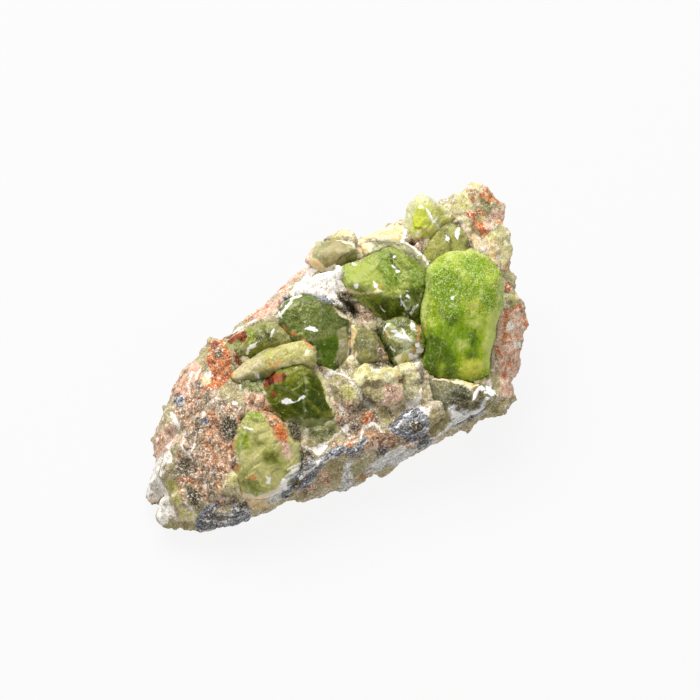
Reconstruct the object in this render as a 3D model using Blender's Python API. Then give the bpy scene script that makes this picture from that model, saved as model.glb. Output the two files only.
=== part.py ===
"""Rough peridot: a broken lump of host rock, packed with olivine grains, with green crystals set in its top.

Metres, +Z up. The stone lies on its flat underside with its long side along X and its front, where the
dark vein runs, at -Y. The origin is on the surface it rests on, below the middle of its box.
Tables that hold millimetres say so; MM turns them into metres.
"""

import math
import random
from collections import namedtuple

import bmesh
import bpy
from mathutils import Matrix, Vector

MM = 0.001

# Every crystal looks out of the broken top the same way, down the slope toward the front.
FACING_BEARING = math.radians(-35)
FACING_ELEVATION = math.radians(48)

# A crystal starts as a block this wide. Its sides close in toward its foot, and its face ends in shoulders.
BLOCK_WIDTH = 60 * MM
GAP = 0.3 * MM
EDGE_ROUNDING = 0.3 * MM
SIDE_TAPER = 0.14
SHOULDER_STEEPNESS = (0.8, 1.3)
CRYSTAL_SHOULDER = 0.9
LUMP_SHOULDER = 0.6

# Grains of the host rock: half sizes and how far they stand out, in millimetres.
GRAIN_SEED = 8
GRAIN_TRIES = 6000
GRAIN_SPACING = 4.7 * MM
GRAIN_WIDTH = (1.9, 3.3)
GRAIN_THICKNESS = (1.4, 2.2)
GRAIN_STANDS_OUT = (0.3, 1.0)
GRAIN_CORNER_PULL = (0.62, 1.0)
GRAIN_PEAK = 1.1
GRAIN_PEAK_OFF_CENTRE = 0.3
GRAIN_LEAN = 0.22

# No grain starts this near to a named crystal or lump, or this far above or below one, in millimetres.
CLEAR_MARGIN = 0.8
CLEAR_DEPTH = 6

# Below this height the stone has no grains of its own, so that it sits flat.
FOOT_HEIGHT = 1.2 * MM
UNDER_SIZE = (120 * MM, 80 * MM, 20 * MM)

# Points nearer than this are one point, and faces nearer in slope than this are one face.
WELD = 0.02 * MM
FINE_WELD = 0.002 * MM
SAME_SLOPE = math.radians(1)

# Sections of the bare stone, from the low left end to the high right end, in millimetres.
# Each goes round from the front foot over the belly, the vein ledge, the broken top and the ridge,
# and down the back to the back foot, as (y, z).
SECTIONS = {
    -31.5: [(-5, 0.3), (-8.5, 0.6), (-9.3, 3.4), (-7.6, 6), (-5, 7.4),
            (-2.5, 7.6), (-1, 7), (0, 5), (-0.5, 2.6), (-2, 0.8)],
    -28: [(-5.5, -0.5), (-10.4, 0.2), (-11.5, 3.6), (-9.8, 7.3), (-6, 10),
          (-2, 11.6), (1.6, 11.2), (4.4, 8.6), (5, 4), (2, -0.5)],
    -21: [(-6.5, -0.5), (-11.6, 1.2), (-12.8, 5), (-11.6, 9), (-7.5, 12.4),
          (-1.5, 15), (5, 15.4), (9, 11.5), (9.6, 5.5), (5, -0.5)],
    -11: [(-8, -0.5), (-14, 2), (-15, 6), (-14, 9.6), (-8.5, 13.2),
          (-0.5, 16), (5.8, 16.7), (9.8, 13), (11, 7), (6, -0.5)],
    0: [(-8.5, -0.5), (-15, 2.5), (-16, 7), (-14.8, 10.6), (-8.5, 13.8),
        (0, 17), (8.3, 18.8), (12.3, 15), (13.2, 8), (7, -0.5)],
    9: [(-8, -0.5), (-16, 4), (-18.4, 7.5), (-17, 11.2), (-9, 14.6),
        (0, 17.6), (8.3, 19.2), (12.3, 15.4), (13.2, 8.5), (7, -0.5)],
    18: [(-6, -0.5), (-12, 5), (-14.8, 8.2), (-13.6, 11.8), (-8, 15),
         (0, 18.2), (7.6, 20.8), (11.4, 16), (12, 9), (6, -0.5)],
    23.5: [(-0.5, 1), (-4.6, 5), (-6.4, 9), (-5.8, 12.4), (-3, 15.4),
           (2, 18.2), (7, 20), (9.5, 15), (10, 9), (5, 1)],
    27.5: [(2.5, 6), (1, 8), (0.5, 11), (1, 13.5), (2.5, 16),
           (4, 18), (6.4, 18.2), (7.2, 13.5), (6.5, 9.5), (5, 6.5)],
}

# One crystal. Its centre is on the bare stone, in millimetres. Its outline is seen from the way it faces,
# clockwise as (right, up) from the centre. Each facet of its face is (height over the centre, fall to the
# right, fall upward); the face is the lowest of them. Depth is how far it goes into the rock.
Crystal = namedtuple("Crystal", "centre outline facets depth colour roughness")

CRYSTALS = {
    "big_green_crystal": Crystal(
        (12.5, -8.2, 15.8),
        [(-4.6, 6.7), (-3.0, 8.2), (-0.9, 9.2), (1.1, 9.3), (3.4, 8.1), (5.2, 6.6), (5.8, 4.6), (5.6, 1.5),
         (4.7, -2.8), (3.4, -7.2), (1.1, -8.2), (-3.4, -8.2), (-5.1, -7.1), (-5.7, -5.4), (-5.6, 0)],
        [(4.2, -0.05, 0.12), (4.0, 0.12, -0.10), (5.6, 0.55, -0.1), (6.3, 0.1, 0.5)],
        4.5, (0.17, 0.38, 0.02), 0.25),
    "shouldered_crystal": Crystal(
        (6.6, 0.4, 18.2),
        [(-5.7, 1.9), (-3.0, 3.7), (0.1, 5.2), (2.0, 4.4), (4.0, 2.8), (5.3, 1.0), (5.2, -2.3), (4.4, -4.8),
         (2.0, -5.3), (-1.0, -5.2), (-2.7, -3.4), (-4.8, -1.1), (-5.7, 0.4)],
        [(2.6, 0.02, 0.38), (4.0, -0.1, -0.62), (3.6, 0.35, 0.1)],
        4.0, (0.26, 0.42, 0.08), 0.3),
    "grey_glassy_crystal": Crystal(
        (10.6, 2.6, 18.8),
        [(-5.6, 2.1), (-3.3, 2.6), (0, 2.6), (2.0, 1.3), (3.9, -1.4), (3.4, -3.3), (0, -3.8), (-4.2, -1.5)],
        [(1.7, 0.1, 0.3), (2.2, 0.4, 0.1)],
        3.0, (0.30, 0.36, 0.18), 0.25),
    "lime_crystal": Crystal(
        (17.5, 6.0, 19.6),
        [(-3.6, 0), (-2.8, 1.8), (-1.4, 3.0), (1.4, 2.2), (3.4, 0.2), (1.4, -1.8), (-0.7, -3.2),
         (-2.5, -3.1), (-3.6, -2.0)],
        [(2.6, -0.05, 0.15), (2.4, 0.45, -0.1), (3.2, -0.5, 0.1)],
        4.0, (0.50, 0.55, 0.10), 0.35),
    "smoky_crystal": Crystal(
        (16.6, 1.4, 18.6),
        [(-3.4, -2.5), (-2.7, -0.2), (-0.9, 1.9), (0.7, 2.8), (2.3, 2.4), (3.4, -0.5), (1.3, -2.6),
         (-1.9, -3.4)],
        [(2.2, 0.1, 0.25), (2.0, -0.35, -0.05)],
        3.5, (0.26, 0.33, 0.13), 0.3),
    "rear_rounded_crystal": Crystal(
        (3.2, 8.2, 19.3),
        [(-3.6, -0.6), (-2.3, 1.2), (0, 1.9), (2.6, 1.5), (3.1, -0.4), (1.4, -1.8), (-1.8, -1.9)],
        [(1.9, -0.05, 0.35), (1.9, 0.1, -0.25)],
        3.5, (0.38, 0.42, 0.22), 0.45),
    "dark_slab_crystal": Crystal(
        (-4.9, 0.2, 16.8),
        [(-5.4, 2.0), (-4.8, 3.9), (-2.4, 4.7), (0.6, 4.4), (2.5, 3.4), (4.0, 1.5), (4.4, -0.6), (3.9, -4.2),
         (2.4, -5.7), (0.9, -5.7), (-4.9, 0.7)],
        [(2.2, -0.12, 0.25), (2.2, 0.25, -0.15), (2.3, 0.55, 0.2)],
        4.5, (0.16, 0.22, 0.08), 0.25),
    "round_glossy_crystal": Crystal(
        (3.4, -6.2, 15.3),
        [(-2.8, 1.1), (-1.8, 2.4), (0.3, 3.0), (2.0, 2.3), (2.8, 0.4), (2.3, -1.6), (0.9, -2.7),
         (-0.4, -2.7), (-1.9, -1.1)],
        [(2.1, 0.1, 0.2), (2.1, -0.3, -0.05), (2.1, 0.1, -0.35)],
        3.0, (0.22, 0.26, 0.12), 0.2),
    "dark_lower_crystal": Crystal(
        (-12.2, -5.6, 14.2),
        [(-4.9, -1.4), (-4.0, 1.4), (-1.9, 3.4), (0.3, 3.9), (2.0, 2.6), (3.1, 0.7), (4.1, -1.1), (4.6, -2.8),
         (3.6, -4.0), (0.2, -4.1), (-2.5, -3.3)],
        [(2.2, 0.05, 0.3), (2.2, -0.15, -0.12), (2.7, 0.5, -0.1)],
        4.5, (0.13, 0.20, 0.03), 0.25),
    "pale_ledge_crystal": Crystal(
        (-12.1, -0.3, 16.0),
        [(-5.7, -2.0), (-4.0, -0.5), (-2.2, 0.6), (0, 1.5), (3.4, 2.3), (5.1, 1.4), (5.2, -0.2), (2.9, -1.6),
         (-4.7, -3.1)],
        [(2.5, -0.05, 0.1)],
        3.0, (0.52, 0.53, 0.20), 0.5),
    "spotted_crystal": Crystal(
        (-12.6, 3.6, 16.3),
        [(-4.3, -0.8), (-1.9, 1.5), (0.5, 2.4), (2.7, 2.6), (5.9, 0), (3.6, -1.2), (-2.4, -3.2)],
        [(1.5, 0, 0.25), (1.5, 0.25, -0.1)],
        3.5, (0.17, 0.25, 0.06), 0.25),
    "low_light_green_crystal": Crystal(
        (-20.0, -9.2, 11.0),
        [(-3.8, 2.4), (-2.2, 5.3), (0.1, 5.5), (1.8, 4.5), (3.5, 2.8), (4.7, 1.0), (4.6, -2.2), (3.4, -4.3),
         (1.2, -5.7), (-2.6, -5.4), (-3.9, -1.6)],
        [(2.1, -0.08, 0.2), (2.1, 0.12, -0.1), (2.6, 0.4, 0)],
        4.5, (0.33, 0.42, 0.12), 0.35),
    "narrow_olive_crystal": Crystal(
        (-0.6, -5.0, 15.2),
        [(-2.2, 3.1), (1.3, 2.0), (2.6, -0.3), (3.2, -1.8), (3.0, -2.6), (0, -2.9), (-2.3, -1.8)],
        [(1.3, -0.25, 0.1), (1.4, 0.3, 0)],
        3.0, (0.30, 0.33, 0.19), 0.4),
    "dark_foot_crystal": Crystal(
        (6.2, -16.0, 10.6),
        [(-3.8, 2.4), (3.8, 1.9), (4.9, 0.7), (2.4, -1.6), (-0.9, -3.2), (-3.0, -1.4)],
        [(2.0, 0.05, 0.25), (2.0, 0, -0.25)],
        3.5, (0.17, 0.20, 0.10), 0.4),
}

# Carved to make room for the named neighbours, which stand in front of them.
IN_FRONT_OF = {
    "shouldered_crystal": ["big_green_crystal"],
    "grey_glassy_crystal": ["shouldered_crystal", "big_green_crystal", "smoky_crystal"],
    "smoky_crystal": ["big_green_crystal", "lime_crystal"],
    "dark_slab_crystal": ["pale_ledge_crystal", "narrow_olive_crystal"],
    "spotted_crystal": ["pale_ledge_crystal", "dark_slab_crystal"],
    "pale_ledge_crystal": ["dark_lower_crystal"],
    "dark_lower_crystal": ["dark_slab_crystal"],
    "round_glossy_crystal": ["big_green_crystal", "shouldered_crystal"],
    "narrow_olive_crystal": ["round_glossy_crystal", "shouldered_crystal"],
    "low_light_green_crystal": ["dark_lower_crystal"],
    "dark_foot_crystal": ["big_green_crystal"],
}

# Lumps grown into the host rock, laid out as the crystals are: centre, outline, facets and depth.
Lump = namedtuple("Lump", "centre outline facets depth")

LUMPS = {
    "white ledge": Lump(
        (-0.6, 5.0, 18.0),
        [(-3.6, -0.6), (-2.4, 1.2), (-1.0, 1.9), (3.1, 2.6), (4.1, 0), (3.9, -3.0), (1.6, -2.8), (-2.2, -2.2)],
        [(2.3, 0.05, 0.15)],
        3.0),
    "rear pale knob": Lump(
        (5.6, 9.8, 18.6),
        [(-1.9, 0.3), (-0.9, 1.7), (0.8, 1.8), (1.8, 0.8), (1.2, -1.0), (-1.4, -1.0)],
        [(1.7, 0, 0.1)],
        3.0),
    "rear cream ridge": Lump(
        (10.4, 7.4, 19.0),
        [(-3.4, -0.8), (-0.7, 0.2), (2.7, 1.2), (3.8, -0.2), (2.0, -1.6), (-2.6, -2.2)],
        [(1.5, 0, 0.3)],
        3.0),
    "rubbly yellow grain": Lump(
        (21.4, 5.4, 18.9),
        [(-2.6, 0), (-1.6, 1.9), (0.4, 2.6), (2.2, 1.9), (3.0, -1.2), (2.0, -3.2), (-0.8, -2.9)],
        [(1.9, 0.15, 0.2), (2.0, -0.3, -0.1)],
        4.0),
    "top right knob": Lump(
        (25.6, 5.8, 17.8),
        [(-2.6, 1.2), (-0.9, 2.6), (1.2, 2.2), (3.2, 0.2), (3.2, -2.4), (0.6, -3.4), (-2.2, -2.4)],
        [(2.2, 0.1, 0.1), (2.4, 0.5, 0.2)],
        4.5),
    "right shoulder": Lump(
        (23.8, -0.6, 16.8),
        [(-3.4, 2.6), (0.4, 3.4), (1.9, 1.6), (2.3, -1.4), (1.2, -4.4), (-2.4, -3.6)],
        [(1.5, 0.1, 0.05), (1.6, -0.3, 0.1)],
        4.0),
    "right pink mass": Lump(
        (19.8, -9.4, 12.6),
        [(-2.6, 4.2), (-0.4, 5.4), (1.8, 3.4), (2.4, -0.6), (1.4, -4.8), (-0.8, -6.2), (-3.0, -3.4)],
        [(1.7, 0.1, 0.1), (2.1, 0.5, 0.1)],
        4.5),
    "right foot": Lump(
        (11.2, -16.6, 8.8),
        [(-2.4, 2.6), (2.6, 2.4), (3.4, -0.2), (1.6, -2.6), (-1.4, -2.8), (-3.0, -0.8)],
        [(1.5, 0.1, 0.1), (1.7, 0.1, -0.3)],
        4.0),
    "cream grain": Lump(
        (-1.6, -8.6, 13.8),
        [(-3.2, -0.2), (-1.7, 1.2), (2.4, 1.4), (3.3, 0.1), (1.9, -0.8), (-2.5, -1.4)],
        [(1.8, 0, 0.15)],
        2.5),
    "rounded olive grain": Lump(
        (-2.2, -10.9, 12.5),
        [(-3.0, 0.7), (2.4, 1.5), (3.0, -0.1), (0.7, -1.4), (-2.0, -1.3)],
        [(1.5, 0, 0.1), (1.6, 0.1, -0.3)],
        2.5),
    "square grain": Lump(
        (-6.6, -8.5, 13.5),
        [(-2.3, 1.3), (0, 2.2), (1.6, 1.4), (2.2, -0.8), (0.8, -2.2), (-1.1, -1.6)],
        [(1.4, -0.1, 0.15)],
        2.5),
    "yellow grain": Lump(
        (2.3, -10.0, 13.1),
        [(-1.5, 1.2), (1.3, 1.2), (1.7, -1.0), (-0.5, -1.6)],
        [(1.5, 0, 0.1)],
        2.5),
    "lower right grain": Lump(
        (1.2, -12.5, 11.8),
        [(-1.2, 1.1), (1.3, 1.1), (1.4, -1.1), (-1.0, -1.3)],
        [(1.4, 0, 0.1)],
        2.5),
    "grey grain beside the ledge": Lump(
        (-16.2, -3.4, 14.2),
        [(-2.4, -0.4), (-1.5, 1.1), (1.3, 1.6), (2.4, 0.2), (1.7, -1.3), (-1.2, -1.5)],
        [(1.3, -0.1, 0.15)],
        2.5),
    "left vein ridge": Lump(
        (-27.0, -10.4, 5.2),
        [(-3.4, 0.3), (-2.0, 1.3), (2.6, 1.2), (3.2, -0.2), (1.6, -1.4), (-2.6, -1.6)],
        [(1.6, 0, 0.2), (1.8, 0, -0.3)],
        3.0),
    "middle vein ridge": Lump(
        (-16.2, -12.9, 8.4),
        [(-3.4, -1.6), (-1.4, 0.8), (1.6, 2.6), (3.4, 2.6), (2.4, 0.4), (-0.6, -2.0), (-2.6, -2.6)],
        [(1.7, 0, 0.2), (1.9, 0.3, -0.3)],
        3.0),
    "upper vein ridge": Lump(
        (-9.8, -13.6, 9.6),
        [(-3.2, -0.8), (-1.2, 0.9), (3.0, 1.8), (3.4, 0.6), (1.0, -0.9), (-2.4, -1.6)],
        [(1.4, 0, 0.25)],
        2.5),
    "right vein ridge": Lump(
        (-1.6, -14.6, 9.8),
        [(-5.2, -2.0), (-3.6, 0.2), (1.2, 1.9), (4.4, 2.6), (5.0, 1.2), (3.0, -0.8), (-1.2, -2.2),
         (-4.4, -2.9)],
        [(1.6, 0, 0.25), (1.9, 0.2, -0.25)],
        3.0),
    "left red knob": Lump(
        (-18.4, 3.4, 15.0),
        [(-2.0, 1.4), (-0.2, 2.6), (1.9, 1.8), (2.2, -1.6), (0.6, -3.2), (-1.4, -2.0)],
        [(1.5, -0.1, 0.2), (1.6, 0.3, 0)],
        3.5),
    "left pink knob": Lump(
        (-22.8, 3.0, 13.6),
        [(-2.4, -0.2), (-0.8, 1.9), (1.8, 1.9), (2.4, -0.6), (0.6, -2.2), (-1.8, -2.0)],
        [(1.4, -0.1, 0.2)],
        3.5),
    "left crust edge": Lump(
        (-29.6, -2.2, 9.2),
        [(-1.8, -1.6), (-0.8, 2.2), (0.8, 3.2), (2.2, 1.4), (1.8, -2.4), (0, -3.2)],
        [(1.3, -0.1, 0.2), (1.4, 0.4, 0)],
        3.5),
    "left white crust": Lump(
        (-31.4, -5.6, 4.0),
        [(-2.4, -1.2), (-1.8, 1.6), (0.2, 3.0), (1.8, 1.6), (1.8, -1.8), (0, -2.7), (-1.6, -2.4)],
        [(1.2, -0.2, 0.1), (1.5, 0, -0.3)],
        3.5),
    "left olive foot": Lump(
        (-29.4, -6.6, 6.4),
        [(-2.8, 0.2), (-1.4, 2.2), (1.6, 2.0), (2.6, -0.4), (1.0, -2.6), (-2.0, -2.4)],
        [(1.4, 0, 0.2), (1.6, 0, -0.3)],
        3.0),
}

# Hollows sunk in the host rock: where one is on the bare stone, its half width, half height, slope of its
# long way to the right, and depth, in millimetres and degrees.
Hollow = namedtuple("Hollow", "centre half_width half_height slope depth")

HOLLOWS = {
    "under the white ledge": Hollow((0.4, 0.9, 17.6), 2.2, 0.9, -48, 2.2),
    "slit in the centre": Hollow((-0.2, -7.3, 14.4), 1.9, 0.5, 5, 1.6),
    "behind the big crystal": Hollow((12.7, 4.2, 19.0), 1.4, 0.8, 20, 1.8),
    "below the lower crystal": Hollow((-15.6, -10.2, 11.0), 1.5, 0.9, 60, 1.6),
    "between the rims": Hollow((-5.0, -10.6, 12.2), 1.6, 0.8, 10, 1.4),
}


def clear_scene():
    for obj in list(bpy.data.objects):
        bpy.data.objects.remove(obj)


def new_object(name, bm):
    bmesh.ops.recalc_face_normals(bm, faces=bm.faces)
    mesh = bpy.data.meshes.new(name)
    bm.to_mesh(mesh)
    bm.free()
    obj = bpy.data.objects.new(name, mesh)
    bpy.context.scene.collection.objects.link(obj)
    return obj


def combined(obj, operation, tools):
    """The object's mesh becomes what it is after one exact Boolean with all the tools, which are then removed."""
    group = bpy.data.collections.new("tools")
    for tool in tools:
        group.objects.link(tool)
    boolean = obj.modifiers.new(operation, "BOOLEAN")
    boolean.operation = operation
    boolean.solver = "EXACT"
    boolean.operand_type = "COLLECTION"
    boolean.collection = group
    bpy.context.view_layer.update()
    evaluated = obj.evaluated_get(bpy.context.evaluated_depsgraph_get())
    bm = bmesh.new()
    bm.from_mesh(evaluated.to_mesh())
    evaluated.to_mesh_clear()
    obj.modifiers.clear()
    for tool in tools:
        bpy.data.objects.remove(tool)
    bpy.data.collections.remove(group)
    bmesh.ops.remove_doubles(bm, verts=bm.verts, dist=FINE_WELD)
    bmesh.ops.dissolve_limit(bm, angle_limit=SAME_SLOPE, verts=bm.verts, edges=bm.edges)
    bmesh.ops.triangulate(bm, faces=bm.faces)
    bm.to_mesh(obj.data)
    bm.free()


def bare_stone():
    """The stone before its grains: a skin through the sections, closed at both ends."""
    bm = bmesh.new()
    rings = []
    for x, outline in SECTIONS.items():
        rings.append([bm.verts.new((x * MM, y * MM, z * MM)) for y, z in outline])
    for ring, after in zip(rings, rings[1:]):
        for i in range(len(ring)):
            j = (i + 1) % len(ring)
            bm.faces.new((ring[i], ring[j], after[j], after[i]))
    bm.faces.new(rings[0])
    bm.faces.new(rings[-1])
    bmesh.ops.triangulate(bm, faces=bm.faces)
    return new_object("host_rock", bm)


def facing_frame(centre):
    """Right, up and outward as a crystal with this centre sees them, as the columns of one matrix."""
    outward = Vector((
        math.sin(FACING_BEARING) * math.cos(FACING_ELEVATION),
        -math.cos(FACING_BEARING) * math.cos(FACING_ELEVATION),
        math.sin(FACING_ELEVATION),
    ))
    right = Vector((math.cos(FACING_BEARING), math.sin(FACING_BEARING), 0))
    up = outward.cross(right)
    turned = Matrix((right, up, outward)).transposed().to_4x4()
    return Matrix.Translation(Vector(centre) * MM) @ turned


def face_height(facets, x, y):
    return min(height - right * x - up * y for height, right, up in facets)


def cutting_planes(outline, facets, depth, shoulder, seed):
    """Point and outward normal of every flat face, in millimetres: sides, shoulders, face and back."""
    rng = random.Random(seed)
    planes = []
    for height, right, up in facets:
        planes.append((Vector((0, 0, height)), Vector((right, up, 1))))
    for (x0, y0), (x1, y1) in zip(outline, outline[1:] + outline[:1]):
        middle = Vector(((x0 + x1) / 2, (y0 + y1) / 2, 0))
        outward = Vector((y0 - y1, x1 - x0, 0)).normalized()
        taper = SIDE_TAPER * rng.uniform(0.4, 1.6)
        planes.append((middle, outward + Vector((0, 0, -taper))))
        inset = shoulder * rng.uniform(0.5, 1.3)
        start = middle - outward * inset
        start.z = face_height(facets, start.x, start.y)
        planes.append((start, outward + Vector((0, 0, rng.uniform(*SHOULDER_STEEPNESS)))))
    planes.append((Vector((0, 0, -depth)), Vector((0, 0, -1))))
    return [(point, normal.normalized()) for point, normal in planes]


def cut_block(centre, planes, grow=0.0, rounding=0.0):
    """A block cut down by the planes, each moved outward by grow."""
    bm = bmesh.new()
    bmesh.ops.create_cube(bm, size=BLOCK_WIDTH)
    for point, normal in planes:
        geometry = bm.verts[:] + bm.edges[:] + bm.faces[:]
        cut = bmesh.ops.bisect_plane(
            bm, geom=geometry, dist=1e-7, plane_co=point * MM + normal * grow, plane_no=normal,
            clear_outer=True)
        rim = [item for item in cut["geom_cut"] if isinstance(item, bmesh.types.BMEdge)]
        if rim:
            bmesh.ops.contextual_create(bm, geom=rim)
    bmesh.ops.remove_doubles(bm, verts=bm.verts, dist=WELD)
    if rounding:
        bmesh.ops.bevel(
            bm, geom=bm.edges[:], offset=rounding, segments=1, affect="EDGES", clamp_overlap=True,
            profile=0.5)
        bmesh.ops.remove_doubles(bm, verts=bm.verts, dist=WELD)
    bmesh.ops.transform(bm, matrix=facing_frame(centre), verts=bm.verts)
    bmesh.ops.triangulate(bm, faces=bm.faces)
    return new_object("block", bm)


def crystal_block(name):
    crystal = CRYSTALS[name]
    planes = cutting_planes(crystal.outline, crystal.facets, crystal.depth, CRYSTAL_SHOULDER, name)
    return cut_block(crystal.centre, planes, rounding=EDGE_ROUNDING)


def pocket_block(name):
    """The crystal with its sharp edges, grown by the gap that it keeps to everything round it."""
    crystal = CRYSTALS[name]
    planes = cutting_planes(crystal.outline, crystal.facets, crystal.depth, CRYSTAL_SHOULDER, name)
    return cut_block(crystal.centre, planes, grow=GAP)


def lump_block(name):
    lump = LUMPS[name]
    planes = cutting_planes(lump.outline, lump.facets, lump.depth, LUMP_SHOULDER, name)
    return cut_block(lump.centre, planes)


def hollow_block(hollow):
    """A rounded hole with its long way turned by its slope."""
    bm = bmesh.new()
    bmesh.ops.create_icosphere(bm, subdivisions=1, radius=1)
    size = Matrix.Diagonal((hollow.half_width * MM, hollow.half_height * MM, hollow.depth * MM, 1))
    turn = Matrix.Rotation(math.radians(hollow.slope), 4, "Z")
    bmesh.ops.transform(bm, matrix=facing_frame(hollow.centre) @ turn @ size, verts=bm.verts)
    return new_object("hollow", bm)


def inside_outline(outline, x, y, margin):
    """Whether a point is inside the outline, or outside it by less than the margin."""
    for (x0, y0), (x1, y1) in zip(outline, outline[1:] + outline[:1]):
        outward = Vector((y0 - y1, x1 - x0)).normalized()
        if (x - x0) * outward.x + (y - y0) * outward.y > margin:
            return False
    return True


def taken(point):
    """Whether a named crystal or lump has this place on the stone."""
    for item in list(CRYSTALS.values()) + list(LUMPS.values()):
        local = facing_frame(item.centre).inverted() @ point / MM
        if abs(local.z) < CLEAR_DEPTH and inside_outline(item.outline, local.x, local.y, CLEAR_MARGIN):
            return True
    return False


def grain_places(stone, rng):
    """Points spread over the bare stone, none closer than the spacing, as (point, normal)."""
    triangles = []
    for face in stone.data.polygons:
        a, b, c = (stone.data.vertices[i].co for i in face.vertices)
        triangles.append((a, b - a, c - a, face.normal.copy(), face.area))
    areas = [triangle[4] for triangle in triangles]
    places = []
    for _ in range(GRAIN_TRIES):
        a, ab, ac, normal, _area = rng.choices(triangles, weights=areas)[0]
        s, t = rng.random(), rng.random()
        if s + t > 1:
            s, t = 1 - s, 1 - t
        point = a + ab * s + ac * t
        if all((point - other).length > GRAIN_SPACING for other, _normal in places):
            places.append((point, normal))
    return places


def grain_block(point, normal, rng):
    """An angular grain: a box with pulled corners, lying on the stone and standing a little out of it."""
    width = rng.uniform(*GRAIN_WIDTH) * MM
    length = rng.uniform(*GRAIN_WIDTH) * MM
    thickness = rng.uniform(*GRAIN_THICKNESS) * MM
    bm = bmesh.new()
    for x in (-1, 1):
        for y in (-1, 1):
            for z in (-1, 1):
                pull = [rng.uniform(*GRAIN_CORNER_PULL) for _ in range(3)]
                bm.verts.new((x * width * pull[0], y * length * pull[1], z * thickness * pull[2]))
    peak_x = rng.uniform(-GRAIN_PEAK_OFF_CENTRE, GRAIN_PEAK_OFF_CENTRE) * width
    peak_y = rng.uniform(-GRAIN_PEAK_OFF_CENTRE, GRAIN_PEAK_OFF_CENTRE) * length
    bm.verts.new((peak_x, peak_y, thickness * GRAIN_PEAK))
    bmesh.ops.convex_hull(bm, input=bm.verts)
    sunk = thickness - rng.uniform(*GRAIN_STANDS_OUT) * MM
    lean = Vector([rng.uniform(-GRAIN_LEAN, GRAIN_LEAN) for _ in range(3)])
    turned = (normal + lean).to_track_quat("Z", "Y").to_matrix().to_4x4()
    spin = Matrix.Rotation(rng.uniform(0, math.tau), 4, "Z")
    place = Matrix.Translation(point - normal * sunk) @ turned @ spin
    bmesh.ops.transform(bm, matrix=place, verts=bm.verts)
    return new_object("grain", bm)


def under_block():
    """Everything below the surface that the stone rests on."""
    bm = bmesh.new()
    bmesh.ops.create_cube(bm, size=1)
    size = Matrix.Diagonal((*UNDER_SIZE, 1))
    bmesh.ops.transform(bm, matrix=Matrix.Translation((0, 0, -UNDER_SIZE[2] / 2)) @ size, verts=bm.verts)
    return new_object("under", bm)


def host_rock():
    stone = bare_stone()
    rng = random.Random(GRAIN_SEED)
    grains = []
    for point, normal in grain_places(stone, rng):
        if point.z > FOOT_HEIGHT and not taken(point):
            grains.append(grain_block(point, normal, rng))
    combined(stone, "UNION", grains + [lump_block(name) for name in LUMPS])
    hollows = [hollow_block(hollow) for hollow in HOLLOWS.values()]
    pockets = [pocket_block(name) for name in CRYSTALS]
    combined(stone, "DIFFERENCE", pockets + hollows + [under_block()])
    return stone


def crystals():
    made = []
    for name in CRYSTALS:
        crystal = crystal_block(name)
        crystal.name = name
        crystal.data.name = name
        neighbours = IN_FRONT_OF.get(name, [])
        if neighbours:
            combined(crystal, "DIFFERENCE", [pocket_block(other) for other in neighbours])
        made.append(crystal)
    return made


def centre_on_box(objects):
    """Moves all the meshes so that the middle of their box is over the origin. Returns the move."""
    points = [vertex.co for obj in objects for vertex in obj.data.vertices]
    x = [point.x for point in points]
    y = [point.y for point in points]
    move = Vector((-(min(x) + max(x)) / 2, -(min(y) + max(y)) / 2, -min(point.z for point in points)))
    for obj in objects:
        obj.data.transform(Matrix.Translation(move))
    return move


def give_material(obj, colour, roughness):
    material = bpy.data.materials.new(obj.name)
    material.use_nodes = True
    shader = material.node_tree.nodes["Principled BSDF"]
    shader.inputs["Base Color"].default_value = (*colour, 1)
    shader.inputs["Roughness"].default_value = roughness
    shader.inputs["Metallic"].default_value = 0
    obj.data.materials.clear()
    obj.data.materials.append(material)


def main():
    clear_scene()
    host = host_rock()
    made = crystals()
    give_material(host, (0.36, 0.31, 0.25), 0.8)
    for obj in made:
        give_material(obj, CRYSTALS[obj.name].colour, CRYSTALS[obj.name].roughness)
    return centre_on_box([host] + made)


SHIFT = main()
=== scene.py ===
"""Looks of the rough peridot: fine rock and clear crystals over the frame's solids, on a pale floor.

Metres, +Z up. Each operator makes one piece, or one group of like pieces, from the solid it stands for:
the solid is made fine, given relief, and marked with the stains, crusts and grains that it shows, and with
painted shade, painted highlights and painted glow. A mark is placed by where it is seen in the 700 x 700
picture, and lies on the solid that the camera meets there.
"""

import math
import random

import bmesh
import bpy
import numpy as np
from mathutils import Euler, Matrix, Vector, noise
from mathutils.bvhtree import BVHTree
from mathutils.kdtree import KDTree


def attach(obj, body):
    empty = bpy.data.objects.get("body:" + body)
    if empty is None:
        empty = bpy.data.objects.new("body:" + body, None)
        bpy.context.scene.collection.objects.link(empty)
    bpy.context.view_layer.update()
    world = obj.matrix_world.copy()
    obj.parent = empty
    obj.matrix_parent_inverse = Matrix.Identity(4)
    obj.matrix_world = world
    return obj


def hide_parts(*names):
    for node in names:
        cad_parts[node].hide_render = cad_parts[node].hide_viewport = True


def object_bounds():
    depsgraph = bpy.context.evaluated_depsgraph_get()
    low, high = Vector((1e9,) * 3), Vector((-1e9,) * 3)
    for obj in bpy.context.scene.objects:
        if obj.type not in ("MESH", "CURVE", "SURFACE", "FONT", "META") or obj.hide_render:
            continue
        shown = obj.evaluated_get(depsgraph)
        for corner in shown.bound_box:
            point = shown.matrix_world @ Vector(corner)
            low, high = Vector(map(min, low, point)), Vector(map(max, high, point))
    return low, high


bl_info = {
    "name": "Rough Peridot Looks",
    "version": (1, 0, 0),
    "blender": (4, 5, 0),
    "location": "View3D > Sidebar > Peridot",
    "description": "Dresses the rough peridot's solids as rock, crust, fibre and clear green crystal",
    "category": "Object",
}

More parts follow.
